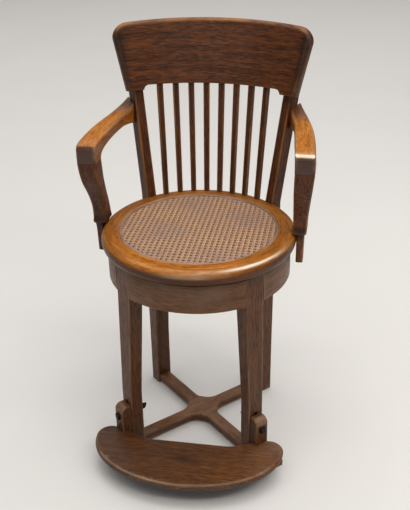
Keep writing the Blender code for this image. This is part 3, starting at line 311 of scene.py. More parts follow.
def dress(piece, own, body, replaced, finish, grain):
    # shading, grain, age and wear by the piece's own values, and the body that it rides on
    # age also paints shade, and rub adds to the wear of the edges or takes from it, and also paints highlights
    mesh = piece.data
    mesh.shade_smooth()
    mesh.set_sharp_from_angle(angle=radians(own.get("crease", usualCrease)))
    places = readPoints(mesh.vertices, "co") - (0, swivelY, 0)
    normals = readPoints(mesh.vertex_normals, "vector")
    aged, rubbed = (shades(places.T, normals.T, own.get(key, 0.0)) for key in ("age", "rub"))
    wear = edgeWear(mesh, places, normals) + rubbed
    setAttribute(mesh, "grain", "FLOAT_VECTOR", "vector", grain(places))
    setAttribute(mesh, "age", "FLOAT", "value", np.clip(aged, 0, own.get("mostAge", fullAge)))
    setAttribute(mesh, "wear", "FLOAT", "value", np.clip(wear, 0, own.get("mostWear", usualWear)))
    mesh.materials.clear()
    mesh.materials.append(finish)
    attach(piece, body)
    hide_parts(replaced)


# finishes

colourMix = {"data_type": "RGBA"}
times = {"operation": "MULTIPLY"}

# The worn tone also paints highlights, and the old tones also paint shade.
# Varnished oak, sawn and sanded: open pores in fine dark lines along the grain, short pale rays, growth
# bands a few millimetres wide, and a warm amber varnish, worn pale on the edges and darker where it is old.
# Real pores are 0.3 mm wide; they are drawn about 2 mm wide, which is the finest that shows in the render.
# For each figure: its length and width, and the levels of noise between which it fades in.
oakGrain = dict(
    band=(0.130, 0.009, 0.34, 0.68), line=(0.020, 0.0024, 0.40, 0.66),
    pore=(0.011, 0.0017, 0.58, 0.72), ray=(0.014, 0.0021, 0.56, 0.74),
    patch=(0.085, 0.045, 0.30, 0.70))
oakLook = dict(patchAge=0.4, dim=0.86, bright=1.12, bare=0.85, lineRoughness=0.16, bump=0.35, depth=0.0004)


def oakFinish(name, **tones):
    look = oakLook
    made, shader, add = newMaterial(name, {"IOR": 1.5, "Specular IOR Level": tones["gloss"],
                                           "Coat Roughness": tones["varnishRoughness"]})
    grain, age, wear = (add("Attribute", {"attribute_name": key}, {}, socket)
                        for key, socket in (("grain", "Vector"), ("age", "Fac"), ("wear", "Fac")))
    figure = {}
    for key, (long, wide, low, high) in oakGrain.items():
        scaled = add("VectorMath", {**times, 1: (1 / long, 1 / wide, 1 / wide)}, {0: grain})
        noise = add("TexNoise", {"Scale": 1.0, "Detail": 3.0, "Roughness": 0.55}, {"Vector": scaled})
        figure[key] = add("MapRange", {"From Min": low, "From Max": high}, {"Value": noise})
    fresh, old = (add("Mix", {**colourMix, 6: tones[early], 7: tones[late]}, {0: figure["band"]}, 2)
                  for early, late in (("early", "late"), ("oldEarly", "oldLate")))
    swing = look["patchAge"]
    shift = add("Math", {"operation": "MULTIPLY_ADD", 1: swing, 2: -swing / 2}, {0: figure["patch"]})
    aged = add("Math", {"operation": "ADD", "use_clamp": True}, {0: age, 1: shift})
    colour = add("Mix", colourMix, {0: aged, 6: fresh, 7: old}, 2)
    lined, pored = (add("Math", {**times, 1: tones["lines"]}, {0: figure[key]}) for key in ("line", "pore"))
    # rays fade as the wood ages; wear is broken up in patches, then turns into the pale painted highlight
    clear = add("Math", {"operation": "MULTIPLY_ADD", 1: -tones["rays"], 2: tones["rays"]}, {0: aged})
    rayed = add("Math", times, {0: figure["ray"], 1: clear})
    rubbed = add("Math", {**times, 1: tones["rub"]}, {0: wear})
    broken = add("Math", times, {0: rubbed, 1: figure["patch"]})
    bare = {"From Min": usualWear, "From Max": bareWear, "To Max": look["bare"]}
    bared = add("MapRange", bare, {"Value": wear})
    covers = (("pores", lined), ("pores", pored), ("fleck", rayed), ("worn", broken), ("bare", bared))
    for key, share in covers:
        colour = add("Mix", {**colourMix, 7: tones[key]}, {0: share, 6: colour}, 2)
    light = add("MapRange", {"To Min": look["dim"], "To Max": look["bright"]}, {"Value": figure["patch"]})
    toned = add("HueSaturation", {}, {"Color": colour, "Value": light})
    smooth = tones["roughness"]
    dulled = {"To Min": smooth, "To Max": smooth + look["lineRoughness"]}
    rough = add("MapRange", dulled, {"Value": figure["line"]})
    # the varnish is dulled by use, and thick and glossy only on the oldest, darkest ends
    coats = {"From Min": fullAge, "From Max": oldestAge, "To Min": tones["varnish"], "To Max": tones["thick"]}
    varnish = add("MapRange", coats, {"Value": age})
    height = add("Math", {"operation": "ADD"}, {0: figure["line"], 1: figure["pore"]})
    dents = {"invert": True, "Strength": look["bump"], "Distance": look["depth"]}
    bump = add("Bump", dents, {"Height": height})
    feed(shader, {"Base Color": toned, "Roughness": rough, "Coat Weight": varnish, "Normal": bump})
    return made


# The palest tone of this finish is a painted highlight, on the seat ring's edge and the right arm's front.
goldenOak = oakFinish(
    "goldenVarnishedOak", early="#c97f2a", late="#a05a12", oldEarly="#4a2408", oldLate="#341a08",
    pores="#4a2204", fleck="#d8964a", worn="#c9ab8c", bare="#f8ead8", lines=0.55, rays=0.35, rub=0.45,
    roughness=0.40, gloss=0.14, varnish=0.25, thick=0.9, varnishRoughness=0.12)
redOak = oakFinish(
    "redBrownStainedOak", early="#74401a", late="#522608", oldEarly="#40220e", oldLate="#2a1406",
    pores="#140802", fleck="#9a6436", worn="#b57a3e", bare="#c79a66", lines=0.74, rays=0.45, rub=0.50,
    roughness=0.42, gloss=0.25, varnish=0.10, thick=0.10, varnishRoughness=0.20)
brownOak = oakFinish(
    "brownStainedOak", early="#7c4a20", late="#603612", oldEarly="#40230d", oldLate="#2e1807",
    pores="#241003", fleck="#906034", worn="#a88a70", bare="#c0a488", lines=0.68, rays=0.35, rub=0.40,
    roughness=0.44, gloss=0.30, varnish=0.12, thick=0.12, varnishRoughness=0.24)
print("oak finishes made")


def cadFinish(name, **tones):
    # finishes of the pieces that stay as they are in the frame, patterned by their own place in it
    made, shader, add = newMaterial(name, {"Metallic": tones["metallic"]})
    place = add("TexCoord", {}, {}, "Object")
    scaled = add("VectorMath", {**times, 1: (tones["scale"],) * 3}, {0: place})
    noise = add("TexNoise", {"Scale": 1.0, "Detail": 4.0, "Roughness": 0.6}, {"Vector": scaled})
    spread = add("MapRange", {"From Min": 0.35, "From Max": 0.66}, {"Value": noise})
    colour = add("Mix", {**colourMix, 6: tones["low"], 7: tones["high"]}, {0: spread}, 2)
    rough = add("MapRange", {"To Min": tones["smooth"], "To Max": tones["dull"]}, {"Value": spread})
    bump = add("Bump", {"Strength": 0.3, "Distance": tones["depth"]}, {"Height": noise})
    feed(shader, {"Base Color": colour, "Roughness": rough, "Normal": bump})
    return made


cadFinishes = {
    # Sand-cast iron, blackened: near black with a dull grain of about 1.5 mm.
    "iron": cadFinish("blackenedCastIron", low="#1c1a19", high="#2f2b28", smooth=0.42, dull=0.62,
                      metallic=0.8, scale=650, depth=0.0002),
    # Turned mild steel, aged: grey with brown oxide in patches of about 3 mm.
    "steel": cadFinish("agedMildSteel", low="#8a8680", high="#5f5348", smooth=0.32, dull=0.55,
                       metallic=1.0, scale=330, depth=0.0001),
    # Bare oak under the seat: dry, pale and planed, mottled in patches of about 4 mm.
    "hidden_oak": cadFinish("bareDryOak", low="#8d6a45", high="#6a4a2c", smooth=0.60, dull=0.78,
                            metallic=0.0, scale=240, depth=0.0003)}
for row in frame["record"]["subparts"]:
    if row["material_slot"] in cadFinishes:
        nodes[row["node"]].material_slots[0].material = cadFinishes[row["material_slot"]]
print("ironwork and bearers finished")


# seat ring, cane and spline

seatRing = dict(
    radius=0.1905, top=0.457, middle=0.442, bottom=0.4272, border=0.0345, topRound=0.0125, underRound=0.008,
    grooveEase=0.0008, ledge=0.0081, ledgeTop=0.4522, segments=168, shoulderRow=0.004,
    borderRows=(0.011, 0.003), plank=1, mostWear=bareWear,
    # bright on top, painted shade below the widest part, and darker at the back and towards both sides
    age=(0.0, (0.95, ("z", 0.4525, 0.442)), (0.35, ("y", 0.02, 0.15)),
         (0.35, ("aside", 0.08, 0.18))),
    # painted highlights on the edge's front and right shoulder, drawn as varnish that legs have rubbed pale
    rub=(0.0, (1.4, ("turn", 0.12, 0.30, hump), ("up", -0.05, 0.15), ("up", 0.60, 0.30)),
         (bareWear, ("turn", 0.74, 0.50, hump), ("up", 0.50, 0.65), ("up", 0.97, 0.85))))


def makeSeatRing():
    own = seatRing
    radius, top, middle, ease = own["radius"], own["top"], own["middle"], own["grooveEase"]
    caneRadius = radius - own["border"]
    opening = caneRadius - own["ledge"]
    underRadii = (own["underRound"], middle - own["bottom"])
    under = arc((radius - own["underRound"], middle), underRadii, -quarterTurn, steps=7)
    shoulder = radius - own["topRound"]
    over = arc((shoulder, middle), (own["topRound"], top - middle), 0.0, steps=9)
    flatRadii = [shoulder - own["shoulderRow"], *(caneRadius + row for row in own["borderRows"])]
    groove = arc((caneRadius + ease, top - ease), (ease, ease), quarterTurn, steps=3)
    profile = [(opening, own["bottom"]), *under, *over[1:], *((flat, top) for flat in flatRadii), *groove,
               (caneRadius, own["ledgeTop"]), (opening, own["ledgeTop"])]
    piece = revolve("seatRing", profile, own["segments"])
    dress(piece, own, "seat", "seat_ring", goldenOak, bentGrain(radius, own["plank"]))


makeSeatRing()

# Real strands are under 1 mm deep; they are drawn 2.6 mm deep, so that the holes between them look dark.
# Their undersides are painted near black, as shade in the holes.
cane = dict(
    pitch=0.0103, pairOffset=0.00138, strand=0.0021, diagonal=0.0023, crown=0.0005, skin=0.0003,
    depth=0.0026, weave=0.00052, over=0.00104, radius=0.1536, height=0.4543, dip=0.0007,
    dipFrom=0.006, thinning=0.6, thinFrom=0.014, thinTo=0.006, pairMargin=0.004, diagonalMargin=0.006,
    endGap=0.001, sectionShares=(0.45, 0.97, 0.8), undersideShade=1.0, edgeTint=0.4, strandTint=0.25,
    tintSteps=(0.618034, 0.414214, 0.732051), tintStart=0.37, crease=70)


def caneFinish():
    # Split rattan, woven and aged: each strand has a smooth pale skin with fine lines along it, no two alike,
    # darker at its edges and where hands and dust have stained it, and painted near black underneath as shade.
    varnish = {"IOR": 1.5, "Coat Weight": 0.15, "Coat Roughness": 0.3}
    made, shader, add = newMaterial("wovenRattanCane", varnish)
    grain = add("Attribute", {"attribute_name": "grain"}, {}, "Vector")
    tint = add("Attribute", {"attribute_name": "age"}, {}, "Fac")
    place = add("TexCoord", {}, {}, "Object")
    streaks = add("VectorMath", {**times, 1: (90.0, 2200.0, 1.0)}, {0: grain})  # 11 mm long, 0.45 mm wide
    fibre = add("TexNoise", {"Scale": 1.0, "Detail": 2.0}, {"Vector": streaks})
    stain = add("TexNoise", {"Scale": 16.0, "Detail": 3.0}, {"Vector": place})
    stained = add("MapRange", {"From Min": 0.36, "From Max": 0.68}, {"Value": stain})
    # the darkest tint is painted shade under the strands
    colour = add("Mix", {**colourMix, 6: "#f0c69c", 7: "#120a05"}, {0: tint}, 2)
    for paint, share in (("#99694a", fibre), ("#a58470", stained)):
        colour = add("Mix", {**colourMix, 7: paint}, {0: share, 6: colour}, 2)
    rough = add("MapRange", {"To Min": 0.38, "To Max": 0.58}, {"Value": fibre})
    feed(shader, {"Base Color": colour, "Roughness": rough})
    return made


rattan = caneFinish()


def makeCane():
    # pairs of strands both ways and single strands on both diagonals, each woven over and under the others
    own = cane
    pitch, offset, radius = own["pitch"], own["pairOffset"], own["radius"]
    crown, edge = own["crown"], own["skin"]
    count = int(radius / pitch) + 1
    points, faces, grain, tints = [], [], [], []

    def addStrand(start, direction, reach, crossings, width, numbers):
        # crossings are rows of (distance along the strand, height in the weave)
        inside = [row for row in crossings if abs(row[0]) < reach - own["endGap"]]
        along, lift = np.array([(-reach, 0.0), *inside, (reach, 0.0)]).T
        # an even spread of tints that is the same each time
        spread = sum(number * step for number, step in zip(numbers, own["tintSteps"]))
        shade = (spread + own["tintStart"]) % 1.0
        direction = np.array(direction) / np.linalg.norm(direction)
        across = np.array((-direction[1], direction[0]))
        middle = np.array(start) + along[:, None] * direction
        inset = radius - np.hypot(*middle.T)
        lift = own["height"] + (lift - own["dip"] * ramp(inset, own["dipFrom"], 0.0))
        # thin over the ledge
        depth = own["depth"] * (1 - own["thinning"] * ramp(inset, own["thinFrom"], own["thinTo"]))
        first = len(points)
        half = width / 2
        top, side, foot = (half * share for share in own["sectionShares"])
        for index, deep in enumerate(depth):
            section = ((-half, 0.0), (-top, crown), (top, crown), (half, 0.0),
                       (side, -edge), (foot, -deep), (-foot, -deep), (-side, -edge))
            for aside, rise in section:
                x, y = middle[index] + across * aside
                points.append((x, y, lift[index] + rise))
                grain.append((along[index], aside, shade))
                upperTint = shade * own["strandTint"] + own["edgeTint"] * (rise == 0)
                # the undersides take the darkest tint, painted shade
                tints.append(own["undersideShade"] if rise < 0 else upperTint)
        faces.extend(skin(len(along), len(section), first))

    for family in (0, 1):
        for line in range(-count, count + 1):
            for side in (-1, 1):
                place = line * pitch + side * offset
                if abs(place) > radius - own["pairMargin"]:
                    continue
                weave = own["weave"] * (-side if family == 0 else side)
                crossings = []
                for step in range(-count, count + 1):
                    turns = ((-offset, weave), (offset, -weave), (pitch / 2, 0))
                    crossings += [(step * pitch + shift, lift) for shift, lift in turns]
                start, direction = ((place, 0), (0, 1)) if family == 0 else ((0, place), (1, 0))
                reach = sqrt(radius ** 2 - place ** 2)
                addStrand(start, direction, reach, crossings, own["strand"], (line, side, family))
    for slope in (1, -1):
        for line in range(-2 * count, 2 * count):
            level = (line + 0.5) * pitch
            nearest = abs(level) * sqrt(0.5)
            if nearest > radius - own["diagonalMargin"]:
                continue
            foot = np.array((-slope * level / 2, level / 2))
            crossings = []
            for step in range(-2 * count, 2 * count + 1):
                over = own["over"] * (slope if step % 2 else -slope)
                for shift in (-offset, offset):
                    crossings.append(((step * pitch / 2 + shift - foot[0]) * sqrt(2), over))
            reach = sqrt(radius ** 2 - nearest ** 2)
            addStrand(foot, (1, slope), reach, crossings, own["diagonal"], (line, slope, 3))
    piece = meshPiece("caneWeave", points, faces)
    dress(piece, {**own, "age": np.array(tints)}, "seat", "cane_panel", rattan,
          lambda places: np.array(grain))
    print("cane woven with", len(faces), "faces")


makeCane()

caneSpline = dict(
    inner=0.1512, outer=0.1557, bottom=0.4533, top=0.4569, crown=0.7, segments=168, plank=2,
    age=0.9)


def makeSpline():
    own = caneSpline
    half = (own["outer"] - own["inner"]) / 2
    rise = half * own["crown"]
    centre = (own["inner"] + half, own["top"] - rise)
    crown = arc(centre, (half, rise), 0.0, steps=10, sweep=pi)
    profile = [(own["inner"], own["bottom"]), (own["outer"], own["bottom"]), *crown]
    piece = revolve("caneSpline", profile, own["segments"])
    dress(piece, own, "seat", "cane_spline", rattan, bentGrain(own["inner"], own["plank"]))


makeSpline()


# back: posts, crest rail and slats

seatTop, ringRadius = seatRing["top"], seatRing["radius"]
posts = dict(
    width=0.022, depth=0.025, edge=0.0028, footAngle=radians(43.5), turn=radians(45),
    leanX=tan(radians(7.238)), leanY=tan(radians(11.034)),
    top=0.775, foot=0.4275, lowRow=0.01, highRow=0.002, rows=8, topShrink=0.93, plank=3,
    # painted shade on the outer faces, which are darker than those towards the sitter
    age=(0.25, (0.25, ("out", -0.2, 0.8))))


def postCentre(side, height):
    own = posts
    rise = max(height - seatTop, 0.0)
    across = ringRadius * sin(own["footAngle"]) + own["leanX"] * rise
    return Vector((side * across, ringRadius * cos(own["footAngle"]) + own["leanY"] * rise, height))


def postAxes(side):
    # outward from the swivel, across the post, and along its lean
    turn = posts["turn"]
    outward = Vector((side * sin(turn), cos(turn), 0))
    across = Vector((side * cos(turn), -sin(turn), 0))
    return outward, across, Vector((side * posts["leanX"], posts["leanY"], 1))


def makePosts():
    own = posts
    outline = roundedSection(own["width"] / 2, own["depth"] / 2, own["edge"])
    rows = np.linspace(seatTop + own["lowRow"], own["top"] - own["highRow"], own["rows"])
    for index, (name, side) in enumerate(sides.items()):
        outward, across, lean = postAxes(side)
        loops = []
        for height in (own["foot"], seatTop, *rows, own["top"]):
            centre = postCentre(side, height)
            shrink = own["topShrink"] if height == own["top"] else 1.0
            loops.append([centre + (across * x + outward * y) * shrink for x, y in outline])
        piece = loft("backPost_" + name, loops)
        dress(piece, own, "seat", "back_post_" + name, redOak,
              straightGrain(lean, across, own["plank"] + index))


makePosts()

rail = dict(
    ear=0.675, arch=0.684, top=0.809, crown=0.006, thickness=0.022, footRadius=0.325, topRadius=0.440,
    postOffset=0.0319, rake=0.018, earOverhang=0.0063, earWidth=0.039, flare=0.025, corner=0.024,
    topEdge=0.009, footEdge=0.0025, endEdge=0.006, mostEdge=0.45, faceRows=(0.04, 0.35, 0.65, 0.95),
    archRows=20, cornerRows=9, fillRows=5, grainStart=(6.8, 3.1, 1.4),
    # painted shade at both ends, dark behind, and a painted highlight along the top, drawn as varnish rubbed bare
    age=(0.15, (0.4, ("aside", 0.150, 0.185)), (0.9, ("end", 0.45, 0.75)),
         (0.4, ("rear", 0.2, 0.8)), (-0.5, ("up", 0.4, 0.9))),
    rimShade=0.6, rimFrom=0.012, rimTo=0.003, rub=(0.0, (1.6, ("up", 0.35, 0.95))))
earPost = postCentre(1, rail["ear"])
rail["footHalf"] = earPost.x + rail["earOverhang"]
rail["topHalf"] = rail["footHalf"] + rail["flare"]
rail["archHalf"] = rail["footHalf"] - rail["earWidth"]
postBow = rail["footRadius"] - sqrt(rail["footRadius"] ** 2 - earPost.x ** 2)
rail["footY"] = earPost.y - rail["postOffset"] + postBow
rail["topY"] = rail["footY"] + rail["rake"]


def railShare(z):
    return (z - rail["ear"]) / (rail["top"] - rail["ear"])


def railFront(x, z):
    # the bowed and raked front face
    low, high = (rail[end + "Y"] - rail[end + "Radius"] + np.sqrt(rail[end + "Radius"] ** 2 - x ** 2)
                 for end in ("foot", "top"))
    return low + (high - low) * railShare(z)


def railStations():
    # across half the rail, close together at the coves and the corners
    own = rail
    arch = own["archHalf"] / own["footHalf"]
    drop = (own["arch"] - own["ear"]) / own["footHalf"]
    corner = 1 - own["corner"] / own["topHalf"]
    turns = [sin(quarterTurn * step / own["cornerRows"]) for step in range(own["cornerRows"] + 1)]
    half = [*np.linspace(0, arch, own["archRows"])[:-1], *(arch + drop * turn for turn in turns)]
    ending = [corner + (1 - corner) * turn for turn in turns]
    fill = np.linspace(half[-1], corner, own["fillRows"])[1:-1] if corner > half[-1] else []
    half = [*half, *fill, *(share for share in ending if share > half[-1])]
    return [*(-share for share in reversed(half[1:])), *half]


def makeCrestRail():
    own = rail
    drop = own["arch"] - own["ear"]
    loops = []
    for share in railStations():
        footX, topX = share * own["footHalf"], share * own["topHalf"]
        footZ = own["arch"] - roundOff(drop, (abs(footX) - own["archHalf"]) / drop)
        corner = roundOff(own["corner"], (abs(topX) - own["topHalf"]) / own["corner"] + 1)
        topZ = own["top"] - own["crown"] * share ** 2 - corner
        foot = Vector((footX, railFront(footX, footZ), footZ))
        top = Vector((topX, railFront(topX, topZ), topZ))
        rib = (top - foot).normalized()
        slope = asin(footX / own["footRadius"])
        backwards = rib.cross(Vector((cos(slope), -sin(slope), 0))).normalized()
        if backwards.y < 0:
            backwards.negate()
        front = roundOff(own["endEdge"], (abs(share) - 1) * own["topHalf"] / own["endEdge"] + 1)
        rear = own["thickness"] - front
        height = (top - foot).length
        upper = min(own["topEdge"], (rear - front) * own["mostEdge"])
        lower = min(own["footEdge"], upper)
        rows = [lower + (height - lower - upper) * row for row in own["faceRows"]]
        outline = [*arc((front + lower, lower), (lower, lower), pi, steps=3),
                   *arc((rear - lower, lower), (lower, lower), -quarterTurn, steps=3),
                   *((rear, row) for row in rows),
                   *arc((rear - upper, height - upper), (upper, upper), 0.0, steps=6),
                   *arc((front + upper, height - upper), (upper, upper), quarterTurn, steps=6),
                   *((front, row) for row in reversed(rows))]
        loops.append([foot + backwards * depth + rib * rise for depth, rise in outline])
    piece = loft("crestRail", loops)

    def age(place, facing):
        half = own["footHalf"] + own["flare"] * railShare(place[2])
        # painted shade along the rims of both ends
        rim = ramp(half - np.abs(place[0]), own["rimFrom"], own["rimTo"])
        return shades(place, facing, own["age"]) + own["rimShade"] * rim

    def grain(places):
        # follows the bow of the rail
        x, y, z = places.T
        return np.c_[x, z, y - railFront(x, z)] + own["grainStart"]

    dress(piece, {**own, "age": age}, "seat", "crest_rail", redOak, grain)


makeCrestRail()

slats = dict(
    count=8, seatMargin=0.0345, railMargin=0.050, seatInset=0.013, seatWidth=0.011, railWidth=0.0125,
    thickness=0.009, edge=0.0018, rim=0.0015, seatTenon=0.003, railTenon=0.004, rows=6, plank=6,
    age=0.40)


def makeSlats():
    own = slats
    circle = ringRadius - own["seatInset"]
    seatSpacing = 2 * (postCentre(1, seatTop).x - own["seatMargin"]) / (own["count"] - 1)
    railSpacing = 2 * (earPost.x - own["railMargin"]) / (own["count"] - 1)
    for index in range(own["count"]):
        place = index - (own["count"] - 1) / 2
        seatX, railX = place * seatSpacing, place * railSpacing
        seat = Vector((seatX, sqrt(circle ** 2 - seatX ** 2), seatTop))
        top = Vector((railX, railFront(railX, rail["arch"]) + rail["thickness"] / 2, rail["arch"]))
        along = (top - seat).normalized()
        facing = (asin(seatX / circle) + asin(railX / rail["footRadius"])) / 2
        turn = Matrix.Rotation(-facing, 3, "Z")
        low, high = seat - along * own["seatTenon"], top + along * own["railTenon"]
        loops = []
        for share in np.linspace(0, 1, own["rows"]):
            width = own["seatWidth"] + (own["railWidth"] - own["seatWidth"]) * share
            outline = roundedSection(width / 2, own["thickness"] / 2, own["edge"], steps=3, rim=own["rim"])
            loops.append([low.lerp(high, share) + turn @ Vector((x, y, 0)) for x, y in outline])
        piece = loft("slat_back_%d" % (index + 1), loops)
        dress(piece, own, "seat", "slat_%d" % (index + 1), redOak,
              straightGrain(along, (1, 0, 0), own["plank"] + index))


makeSlats()
print("back built")


# arms and their supports

# Each row is a rib: y and rise of its lower and upper ends, then its inner and outer sides.
# The rear rows are written from the post, the front rows from the ring's edge.
armSeam = seatTop + 0.135
arms = dict(
    rise=0.173, edge=0.0045, postCut=0.008, plank=14, grainSlant=0.12, mostAge=oldestAge, mostWear=bareWear,
    rearRows=((0.020, 0.141, 0.028, 0.203, -0.003, 0.019), (-0.006, 0.147, 0.000, 0.190, 0.005, 0.031),
              (-0.026, 0.151, -0.026, 0.182, 0.011, 0.042), (-0.054, 0.154, -0.054, 0.1785, 0.017, 0.050)),
    frontRows=((0.078, 0.155, 0.078, 0.178, -0.0165, 0.020), (0.040, 0.154, 0.035, 0.1775, -0.0133, 0.0252),
               (0.014, 0.150, -0.004, 0.176, -0.010, 0.0285), (0.004, 0.146, -0.034, 0.1725, -0.0078, 0.0303),
               (0.0005, 0.143, -0.0435, 0.167, -0.0068, 0.0308),
               (-0.002, 0.140, -0.0455, 0.157, -0.0063, 0.031),
               (-0.004, 0.135, -0.045, 0.135, -0.0058, 0.031)),
    # golden on top where hands rest, orange inside, dark outside and at the rear, and painted shade on the nose
    # and underneath
    agesAndShade=((0.0, (oldestAge, ("rear", -0.45, -0.85), ("y", 0.0, -0.03))),
          (0.0, (0.68, ("out", 0.3, 0.8))),
          (0.0, (0.40, ("out", -0.3, -0.8)),
           (-0.10, ("out", -0.3, -0.8), ("y", 0.04, 0.12))),
          (0.0, (0.8, ("up", -0.2, -0.7))),
          (0.0, (0.85, ("y", 0.10, 0.165), ("up", 0.2, 0.6)))),
    # a painted highlight on the right arm's front, drawn as a palm's wear; no pale line shows at its support
    palmWearAndHighlight={"left": 0.0, "right": 2.6},
    palm=(("rear", -0.15, -0.35), ("up", 0.45, 0.70), ("y", 0.0, -0.02)),
    seamRub=(-1.0, ("z", armSeam + 0.012, armSeam + 0.003)))


def makeArms():
    own = arms
    post = postCentre(1, seatTop + own["rise"])
    knots = []
    for rows, x, y in ((own["rearRows"], post.x, post.y), (own["frontRows"], ringRadius, 0.0)):
        for lowY, lowRise, highY, highRise, inner, outer in rows:
            knots.append((y + lowY, seatTop + lowRise, y + highY, seatTop + highRise, x + inner, x + outer))

    def age(place, facing):
        return np.maximum.reduce([shades(place, facing, rule) for rule in own["agesAndShade"]])

    for index, (name, side) in enumerate(sides.items()):
        loops = []
        for lowY, lowZ, highY, highZ, inner, outer in smoothRows(knots):
            rib = Vector((0, highY - lowY, highZ - lowZ))
            middle = Vector((side * (inner + outer), lowY + highY, lowZ + highZ)) / 2
            up = rib.normalized()
            outline = roundedSection((outer - inner) / 2, rib.length / 2, own["edge"])
            loops.append([middle + Vector((side * x, 0, 0)) + up * y for x, y in outline])
        piece = loft("arm_rest_" + name, loops)
        outward, across, lean = postAxes(side)
        normal = outward.cross(lean).normalized()
        if normal.dot(across) < 0:
            normal.negate()
        joint = postCentre(side, seatTop + own["rise"]) + across * own["postCut"]

        def fitToPost(shape):
            cut = bisect(shape, joint, normal, clear_inner=True)
            rim = [item for item in cut["geom_cut"] if isinstance(item, bmesh.types.BMEdge)]
            bmesh.ops.contextual_create(shape, geom=rim)
            bmesh.ops.recalc_face_normals(shape, faces=shape.faces)

        reshape(piece.data, fitToPost)
        rub = (0.0, (own["palmWearAndHighlight"][name], *own["palm"]), own["seamRub"])
        dress(piece, {**own, "age": age, "rub": rub}, "seat", "arm_" + name, goldenOak,
              straightGrain((side * own["grainSlant"], -1, 0), (1, 0, 0), own["plank"] + index))


makeArms()

# Each row: rise over the seat, front and rear, then inner and outer sides from the ring's edge.
supports = dict(
    edge=0.004, mostEdge=0.45, clearance=0.0003, clearFrom=0.030, plank=16,
    rows=((0.1347, -0.045, -0.004, -0.0058, 0.0310), (0.117, -0.0435, -0.003, -0.0062, 0.0295),
          (0.093, -0.037, 0.000, -0.0068, 0.0270), (0.063, -0.019, 0.009, -0.0074, 0.0238),
          (0.035, -0.009, 0.021, -0.0075, 0.0209), (0.013, -0.009, 0.029, -0.007, 0.0195),
          (0.002, -0.013, 0.032, -0.0075, 0.019), (-0.007, -0.010, 0.028, -0.0075, 0.015),
          (-0.061, -0.008, 0.022, -0.0075, 0.014)),
    # orange inside; the front, darker on the left, and the shoulder on the ring are dark, partly as painted shade
    frontAgeAndShade={"left": 0.40, "right": 0.15}, inside=("out", -0.3, -0.8),
    shoulder=(0.9, ("z", seatTop - 0.012, seatTop - 0.006),
              ("z", seatTop + 0.018, seatTop + 0.010)),
    rub=(0.0, (-1.0, ("z", armSeam - 0.012, armSeam - 0.003))))


def makeSupports():
    own = supports
    for index, (name, side) in enumerate(sides.items()):
        loops = []
        for rise, front, rear, inner, outer in smoothRows(own["rows"]):
            # below the seat the inner face stands clear of the base and lies on the ring's edge
            if rise < 0:
                inner = max(inner, min(-rise / own["clearFrom"], 1.0) * own["clearance"])
            edge = min(own["edge"], (outer - inner) * own["mostEdge"])
            outline = roundedSection((outer - inner) / 2, (rear - front) / 2, edge)
            middle = Vector((side * (ringRadius + (inner + outer) / 2), (front + rear) / 2, seatTop + rise))
            loops.append([middle + Vector((side * x, y, 0)) for x, y in outline])
        piece = loft("support_arm_" + name, loops)
        dark = own["frontAgeAndShade"][name]
        age = (dark, (-dark, own["inside"]), own["shoulder"])
        dress(piece, {**own, "age": age}, "seat", "arm_support_" + name, redOak,
              straightGrain((0, 0, 1), (0, 1, 0), own["plank"] + index))


makeSupports()
print("arms built")


# base: legs, apron and stretchers

apron = dict(
    radius=0.180, top=0.424, bottom=0.366, thickness=0.020, edge=0.0015, legGap=0.0003, rows=41,
    plank=23, age=(0.05, (0.5, ("z", 0.412, 0.424))))  # painted shade close under the seat
legs = dict(
    edge=0.002, topWidth=0.041, topDepth=0.032, footWidth=0.034, footDepth=0.027, footEase=0.001,
    topGap=0.0006, frontSplay=0.008, backSplay=0.001, straight=0.140, boltHeight=0.088, travel=0.028,
    slotRadius=0.0038, slotSteps=12, slotReach=(-0.06, 0.03), plank=18,
    slices=(0.02, 0.04, 0.06, 0.10, 0.20, 0.26, 0.32, 0.40, 0.412),
    # painted shade near the floor and under the seat
    age=(0.38, (0.25, ("z", 0.06, 0.0)), (0.3, ("z", 0.40, 0.424))))
legAngles = {"front_left": radians(225), "front_right": radians(315),
             "back_left": radians(135), "back_right": radians(45)}
legFace = sqrt(apron["radius"] ** 2 - (legs["topWidth"] / 2) ** 2)


def makeLegs():
    own = legs
    ease, bore = own["footEase"], own["slotRadius"]
    foot, top = (own["footDepth"], own["footWidth"]), (own["topDepth"], own["topWidth"])
    sole = [size - 2 * ease for size in foot]
    for index, (name, angle) in enumerate(legAngles.items()):
        isFront = name.startswith("front")
        face = legFace + (own["frontSplay"] if isFront else own["backSplay"])
        rows = ((0.0, face - ease, *sole), (ease, face, *foot), (own["straight"], face, *foot),
                (apron["bottom"], legFace, *top), (apron["top"] - own["topGap"], legFace, *top))
        turn = Matrix.Rotation(angle, 3, "Z")
        loops = []
        for height, outer, depth, width in rows:
            outline = roundedSection(depth / 2, width / 2, own["edge"])
            loops.append([turn @ Vector((outer - depth / 2 + x, y, height)) for x, y in outline])
        piece = loft("chairLeg_" + name, loops)
        if isFront:
            slot = []
            for height, first in ((own["boltHeight"] + own["travel"], 0.0), (own["boltHeight"], pi)):
                slot += arc((0, height), (bore, bore), first, own["slotSteps"], sweep=pi)
            carve(piece, [[turn @ Vector((face + x, y, z)) for y, z in slot] for x in own["slotReach"]])
        sliceFaces(piece, (0, 0, 1), own["slices"])
        dress(piece, own, "base", "leg_" + name, brownOak,
              straightGrain((0, 0, 1), turn @ Vector((0, 1, 0)), own["plank"] + index))


makeLegs()


